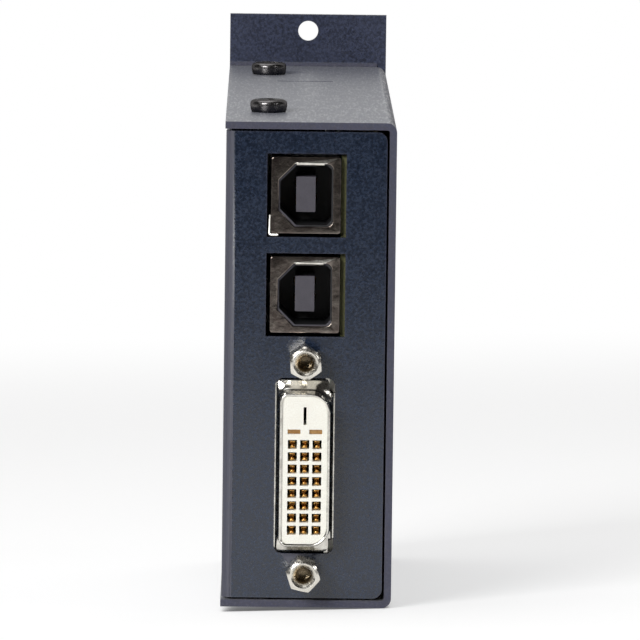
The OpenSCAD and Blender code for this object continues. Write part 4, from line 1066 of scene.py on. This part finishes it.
class GATEWAY_OT_video_socket(Operator):
    """Draws the video socket's shell from sheet and fits its insulator and contacts"""

    bl_idname = "gateway.video_socket"
    bl_label = "Video socket"

    def execute(self, context):
        s = context.scene.gateway_sockets
        wall = s.video_sheet / MM
        low, high = corners("video_shell")
        x, z = (low.x + high.x) / 2, (low.z + high.z) / 2
        front, flange_back = low.y - PORT_FACE_Y, high.y - PORT_FACE_Y
        flange_w, flange_h = 5.2, (high.z - low.z) / 2
        bm = bmesh.new()
        rings = []
        for side, end, y in (
                (-wall, -wall, flange_back), (-wall, -wall, front + 0.12),
                (-wall * 0.72, -wall * 0.72, front + 0.02), (-wall * 0.5, -wall * 0.5, front),
                (-wall * 0.28, -wall * 0.28, front + 0.02), (0, 0, front + 0.14), (0, 0, -0.35),
                (0.04, 0.08, -0.2), (0.13, 0.34, 0.02), (0.26, 0.8, 0.28)):
            rings.append(ring(bm, self.tongue_outline(side, end), y))
        for half_w, half_h, narrow, y in (
                (4.3, 13.2, 0.5, 0.42), (4.44, 13.42, 0.72, 0.56), (4.44, 13.42, 0.72, 1.0),
                (flange_w, flange_h, 1.44, 1.0), (flange_w, flange_h, 1.44, flange_back)):
            rings.append(ring(bm, notched_outline(half_w, half_h, 11.35, narrow), y))
        rings.append(rings[0])
        skin(bm, rings)
        bmesh.ops.recalc_face_normals(bm, faces=bm.faces)
        bmesh.ops.translate(bm, vec=(x, PORT_FACE_Y, z), verts=bm.verts)
        add_piece(bm, "video_shell_drawn", "connector_steel", ("video_shell",), sharp=45)
        rounded_node("video_insulator", "video_insulator_moulded", 0.09, "ivory_plastic")
        self.contacts(x, z, s.video_pitch / MM)
        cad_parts["video_ground_contact"].data.materials[0] = finish("worn_gilt")
        return {"FINISHED"}

    def tongue_outline(self, side, end):
        """The drawn shell's outline, grown at its sides and at its ends."""
        half_w, half_h, shrink = 3.9, 11.9, min(side, 0)
        return rounded_outline(2 * (half_w + side), 2 * (half_h + end), 1.3 + shrink,
                               3.0 + shrink, 8)

    def contacts(self, x, z, pitch):
        """Two bowed leaves in each hole, with a stem to the back and a leg to the board."""
        rows, columns, first_row = 8, 3, 3.97
        front = corners("video_signal_contacts")[0].y
        one = bmesh.new()
        bow = [(0.0, 0.53), (0.16, 0.46), (0.42, 0.34), (0.9, 0.26), (1.4, 0.24), (2.3, 0.34),
               (4.9, 0.5), (5.2, 0.5)]
        for side in (-1, 1):
            add_strip(one, [(0, y, side * h) for y, h in bow], (1, 0, 0), -0.34, 0.68, 0.14)
        bmesh.ops.create_uvsphere(one, u_segments=10, v_segments=6, radius=0.24,
                                  matrix=Matrix.Translation((-0.04, 0.24, -0.34)))
        block(one, (-0.42, 4.95, -0.55), (0.42, 5.2, 0.55))
        nearest_leg, leg_gap, leg_width, stem, board = PORT_FACE_Y + 13.8, 1.9, 0.9, 0.12, 5.2
        bm = bmesh.new()
        for row in range(rows):
            for column in range(columns):
                cx, cz = x + (column - 1) * pitch, z + first_row - row * pitch
                place(bm, one, Matrix.Translation((cx, front, cz)))
                leg = nearest_leg + (columns - 1 - column) * leg_gap
                block(bm, (cx - stem, front + 5.1, cz - 0.4),
                      (cx + stem, leg + leg_width, cz + 0.4))
                block(bm, (cx - stem, leg, cz - stem), (x + board, leg + leg_width, cz + stem))
        one.free()
        add_piece(bm, "video_contact_leaves", "gilt_contact", ("video_signal_contacts",), sharp=40)


# ---------------------------------------------------------------- far end


class GATEWAY_OT_network_socket(Operator):
    """Rounds the network socket's folded shield, housing and lamps, and bends its contact wires"""

    bl_idname = "gateway.network_socket"
    bl_label = "Network socket"

    def execute(self, context):
        rounded_nodes(("network_shield", "network_shield_folded", 0.14, "connector_steel"),
                      ("network_body", "network_housing", 0.12, "black_plastic"),
                      ("network_lights", "network_lamps", 0.2, "lens_plastic"))
        low, high = corners("network_contacts")
        pins, wide, wire = 8, 0.4, 0.3
        wires = bmesh.new()
        bow = [(high.x - 0.16, low.y), (high.x - 0.16, high.y - 0.9),
               (high.x - 0.3, high.y - 0.3), (high.x - 0.62, high.y - 0.16),
               (high.x - 0.95, high.y - 0.5), (low.x + 0.2, low.y + 0.6)]
        for i in range(pins):
            z = low.z + wide / 2 + (high.z - low.z - wide) * i / (pins - 1)
            add_strip(wires, [(x, y, 0) for x, y in bow], (0, 0, 1), z - wide / 2, wide, wire)
        add_piece(wires, "network_contact_wires", "gilt_contact", ("network_contacts",))
        return {"FINISHED"}


class GATEWAY_OT_power_socket(Operator):
    """Finishes the power socket with its pin and its leaf"""

    bl_idname = "gateway.power_socket"
    bl_label = "Power socket"

    def execute(self, context):
        rounded_nodes(("power_body", "power_housing", 0.15, "black_plastic"),
                      ("power_pin", "power_pin_turned", 0.25, "nickel_screw", 3),
                      ("power_leaf", "power_leaf_stamped", 0.08, "nickel_screw"))
        return {"FINISHED"}


class GATEWAY_OT_reset_button(Operator):
    """Finishes the recessed reset button and the lights beside it"""

    bl_idname = "gateway.reset_button"
    bl_label = "Reset button and lights"

    def execute(self, context):
        rounded_nodes(
            ("reset_housing", "reset_switch_housing", 0.15, "black_plastic"),
            ("reset_cover", "reset_switch_cover", 0.05, "connector_steel"),
            ("reset_plunger", "reset_plunger_moulded", 0.2, "button_plastic", 3, BUTTON_BODY))
        self.light_pipes()
        rounded_node("indicator_lamps", "indicator_lamps_moulded", 0.1, "lens_plastic")
        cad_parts["reset_dome"].data.materials[0] = finish("zinc_steel")
        return {"FINISHED"}

    def light_pipes(self):
        """The three pipes, each with a domed end in the far panel."""
        bm = node_bmesh("light_pipes")
        bm.normal_update()
        ends = [f for f in bm.faces
                if f.normal.y > 0.99 and f.calc_center_median().y > FAR_FACE_Y - 0.1]
        rise, inset, steps = 0.35, 0.3, (0.16, 0.11, 0.06)
        for step in steps:
            bmesh.ops.inset_region(bm, faces=ends, thickness=inset, use_even_offset=True,
                                   depth=step * rise / sum(steps))
        add_piece(bm, "light_pipes_domed", "clear_plastic", ("light_pipes",))


# ---------------------------------------------------------------- inside


class GATEWAY_OT_board(Operator):
    """Finishes the circuit board and what is soldered to it"""

    bl_idname = "gateway.board"
    bl_label = "Circuit board"

    def execute(self, context):
        rounded_nodes(
            ("circuit_board", "board_laminate_sheet", 0.08, "board_laminate"),
            ("processor", "processor_package", 0.2, "chip_plastic"),
            ("memory_chips", "memory_packages", 0.12, "chip_plastic"),
            ("video_chip", "video_chip_package", 0.15, "chip_plastic"),
            ("network_chip", "network_chip_package", 0.15, "chip_plastic"),
            ("usb_chip", "usb_chip_package", 0.15, "chip_plastic"),
            ("flash_chip", "flash_package", 0.15, "chip_plastic"),
            ("power_chips", "power_chip_packages", 0.15, "chip_plastic"),
            ("power_inductors", "power_inductor_blocks", 0.4, "ferrite"),
            ("bulk_capacitors", "bulk_capacitor_cans", 0.25, "can_aluminium"),
            ("crystals", "crystal_cans", 0.25, "connector_steel"),
            ("small_resistors", "resistor_chips", 0.05, "chip_plastic"),
            ("service_header", "service_header_block", 0.2, "black_plastic"),
            ("header_pins", "header_pin_row", 0.08, "gilt_contact"))
        return {"FINISHED"}


class GATEWAY_OT_hardware(Operator):
    """Finishes the spacers, the press nuts, the heat sink and its pad"""

    bl_idname = "gateway.hardware"
    bl_label = "Inner hardware"

    def execute(self, context):
        rounded_nodes(("board_spacers", "board_spacers_turned", 0.15, "brass_spacer"),
                      ("cover_press_nuts", "press_nuts_turned", 0.15, "zinc_steel"),
                      ("heat_sink", "heat_sink_extruded", 0.15, "black_aluminium"),
                      ("thermal_pad", "thermal_pad_cut", 0.08, "pad_rubber"))
        return {"FINISHED"}


# ---------------------------------------------------------------- stage


def mix_shaders(tree, factor, first, second):
    node = tree.nodes.new("ShaderNodeMixShader")
    for output, socket in zip((factor, first, second), node.inputs):
        tree.links.new(output, socket)
    return node.outputs[0]


def floor_material():
    """Pale floor that keeps the shadow, with a painted contact shade and a painted dark front.

    It is white to the camera, near black in front to reflections and bounce light, and clear
    from below.
    """
    material = bpy.data.materials.new("Studio floor")
    material.use_nodes = True
    tree = material.node_tree
    tree.nodes.clear()
    output = tree.nodes.new("ShaderNodeOutputMaterial")
    place = tree.nodes.new("ShaderNodeTexCoord").outputs["Object"]
    rays = tree.nodes.new("ShaderNodeLightPath").outputs

    def matt(level):
        return add_node(tree, "ShaderNodeBsdfDiffuse", Color=(level, level, level, 1)).outputs[0]

    glow = add_node(tree, "ShaderNodeEmission")
    # Painted contact shade: the lift seen by camera and glossy rays is cut where ambient occlusion
    # finds the gateway close.
    painted_contact_shade = add_node(tree, "ShaderNodeAmbientOcclusion", samples=8, Distance=3.5 * MM)
    tree.links.new(spread(tree, painted_contact_shade.outputs["AO"], 0.1, 0.6, 0.12, 0.59), glow.inputs["Strength"])
    near = tree.nodes.new("ShaderNodeAddShader")
    tree.links.new(matt(0.52), near.inputs[0])
    tree.links.new(glow.outputs[0], near.inputs[1])
    white = add_node(tree, "ShaderNodeEmission", Strength=1.0).outputs[0]
    distance = add_node(tree, "ShaderNodeVectorMath", operation="LENGTH")
    tree.links.new(place, distance.inputs[0])
    seen = mix_shaders(tree, spread(tree, distance.outputs["Value"], 0.35, 1.1),
                       near.outputs[0], white)
    mirrored = math_node(tree, "MAXIMUM", rays["Is Glossy Ray"], rays["Is Transmission Ray"])
    direct = math_node(tree, "MAXIMUM", rays["Is Camera Ray"], mirrored)
    surface = mix_shaders(tree, direct, matt(0.8), seen)
    # Painted shade: the floor in front is near black to all but camera rays, darkening the panel's
    # reflection and bounce light.
    painted_dark_front = spread(tree, parts(tree, place)["Y"], -0.25, -0.42)
    unseen = math_node(tree, "SUBTRACT", 1.0, rays["Is Camera Ray"])
    surface = mix_shaders(tree, times(tree, painted_dark_front, unseen), surface, matt(0.05))
    below = add_node(tree, "ShaderNodeNewGeometry").outputs["Backfacing"]
    clear = add_node(tree, "ShaderNodeBsdfTransparent").outputs[0]
    tree.links.new(mix_shaders(tree, below, surface, clear), output.inputs[0])
    return material


def studio_world(room, sky):
    """Pale walls behind and above, an unlit room behind the camera, and a white backdrop."""
    world = bpy.data.worlds.new("Studio")
    world.use_nodes = True
    tree = world.node_tree
    tree.nodes.clear()
    output = tree.nodes.new("ShaderNodeOutputWorld")
    direction = tree.nodes.new("ShaderNodeTexCoord").outputs["Generated"]
    front = spread(tree, parts(tree, direction)["Y"], 0.8, 0.2)
    walls = mix_colour(tree, front, (sky, sky, sky), room)
    rays = tree.nodes.new("ShaderNodeLightPath").outputs
    background = add_node(tree, "ShaderNodeBackground", Strength=1.0)
    tree.links.new(mix_colour(tree, rays["Is Camera Ray"], walls, (1.0, 1.0, 1.0)),
                   background.inputs["Color"])
    tree.links.new(background.outputs[0], output.inputs[0])
    return world


def add_lamp(name, power, position, width, height=None):
    """A soft lamp at a position in metres, aimed at the middle of the gateway."""
    data = bpy.data.lights.new(name, "AREA")
    data.energy = power
    data.size = width
    if height:
        data.shape = "RECTANGLE"
        data.size_y = height
    lamp = bpy.data.objects.new(name, data)
    bpy.context.scene.collection.objects.link(lamp)
    lamp.location = position
    aim = Vector((0, -0.06, 0)) - Vector(position)
    lamp.rotation_euler = aim.to_track_quat("-Z", "Y").to_euler()


class GATEWAY_OT_stage(Operator):
    """Lays the floor that the gateway leans on, hangs the lamps and sets the camera"""

    bl_idname = "gateway.stage"
    bl_label = "Stage"

    def execute(self, context):
        s = context.scene.gateway_stage
        self.floor(context, s)
        add_lamp("key_lamp", s.key_power, (-0.72, -1.32, 0.66), 0.7, 0.6)
        add_lamp("fill_lamp", s.fill_power, (1.1, -1.0, 0.6), 0.24)
        add_lamp("top_lamp", s.top_power, (-0.25, 0.1, 1.3), 1.1)
        data = bpy.data.cameras.new("camera")
        data.lens = s.camera_lens
        data.sensor_width = 36
        data.clip_start, data.clip_end = 0.05, 50
        camera = bpy.data.objects.new("camera", data)
        camera.location = s.camera_place
        camera.rotation_euler = s.camera_turn
        context.scene.collection.objects.link(camera)
        context.scene.camera = camera
        context.scene.world = studio_world(s.room, s.sky)
        context.scene.view_settings.view_transform = "Standard"
        return {"FINISHED"}

    def floor(self, context, s):
        """One sloping sheet, in metres, that ends in front of the gateway."""
        half_width, front, back = 2.5, -0.62, 4.0
        bm = bmesh.new()
        bmesh.ops.create_grid(bm, x_segments=1, y_segments=1, size=1)
        for v in bm.verts:
            v.co.x *= half_width
            v.co.y = front if v.co.y < 0 else back
            v.co.z = s.floor_height + s.floor_back * v.co.y + s.floor_side * v.co.x
        mesh = bpy.data.meshes.new("studio_floor")
        bm.to_mesh(mesh)
        bm.free()
        mesh.materials.append(floor_material())
        floor = bpy.data.objects.new("studio_floor", mesh)
        context.scene.collection.objects.link(floor)


# ---------------------------------------------------------------- add-on


OPERATORS = (
    GATEWAY_OT_stage, GATEWAY_OT_case, GATEWAY_OT_case_screws, GATEWAY_OT_base_screws,
    GATEWAY_OT_jack_screws, GATEWAY_OT_usb_sockets, GATEWAY_OT_video_socket,
    GATEWAY_OT_network_socket, GATEWAY_OT_power_socket,
    GATEWAY_OT_reset_button, GATEWAY_OT_board, GATEWAY_OT_hardware,
)


class GATEWAY_PT_build(Panel):
    """Lists the gateway's pieces and the values that shape them"""

    bl_idname = "GATEWAY_PT_build"
    bl_label = "Gateway"
    bl_space_type = "VIEW_3D"
    bl_region_type = "UI"
    bl_category = "Gateway"

    def draw(self, context):
        for operator in OPERATORS:
            self.layout.operator(operator.bl_idname)
        for name, group in GROUPS.items():
            box = self.layout.box()
            box.label(text=group.__doc__)
            for key in group.__annotations__:
                box.prop(getattr(context.scene, name), key)


CLASSES = (*GROUPS.values(), *OPERATORS, GATEWAY_PT_build)


def register():
    for cls in CLASSES:
        bpy.utils.register_class(cls)
    for name, group in GROUPS.items():
        setattr(bpy.types.Scene, name, PointerProperty(type=group))


def unregister():
    for name in GROUPS:
        delattr(bpy.types.Scene, name)
    for cls in reversed(CLASSES):
        bpy.utils.unregister_class(cls)


def main():
    register()
    for operator in OPERATORS:
        group, name = operator.bl_idname.split(".")
        getattr(getattr(bpy.ops, group), name)()


if __name__ == "__main__":
    main()
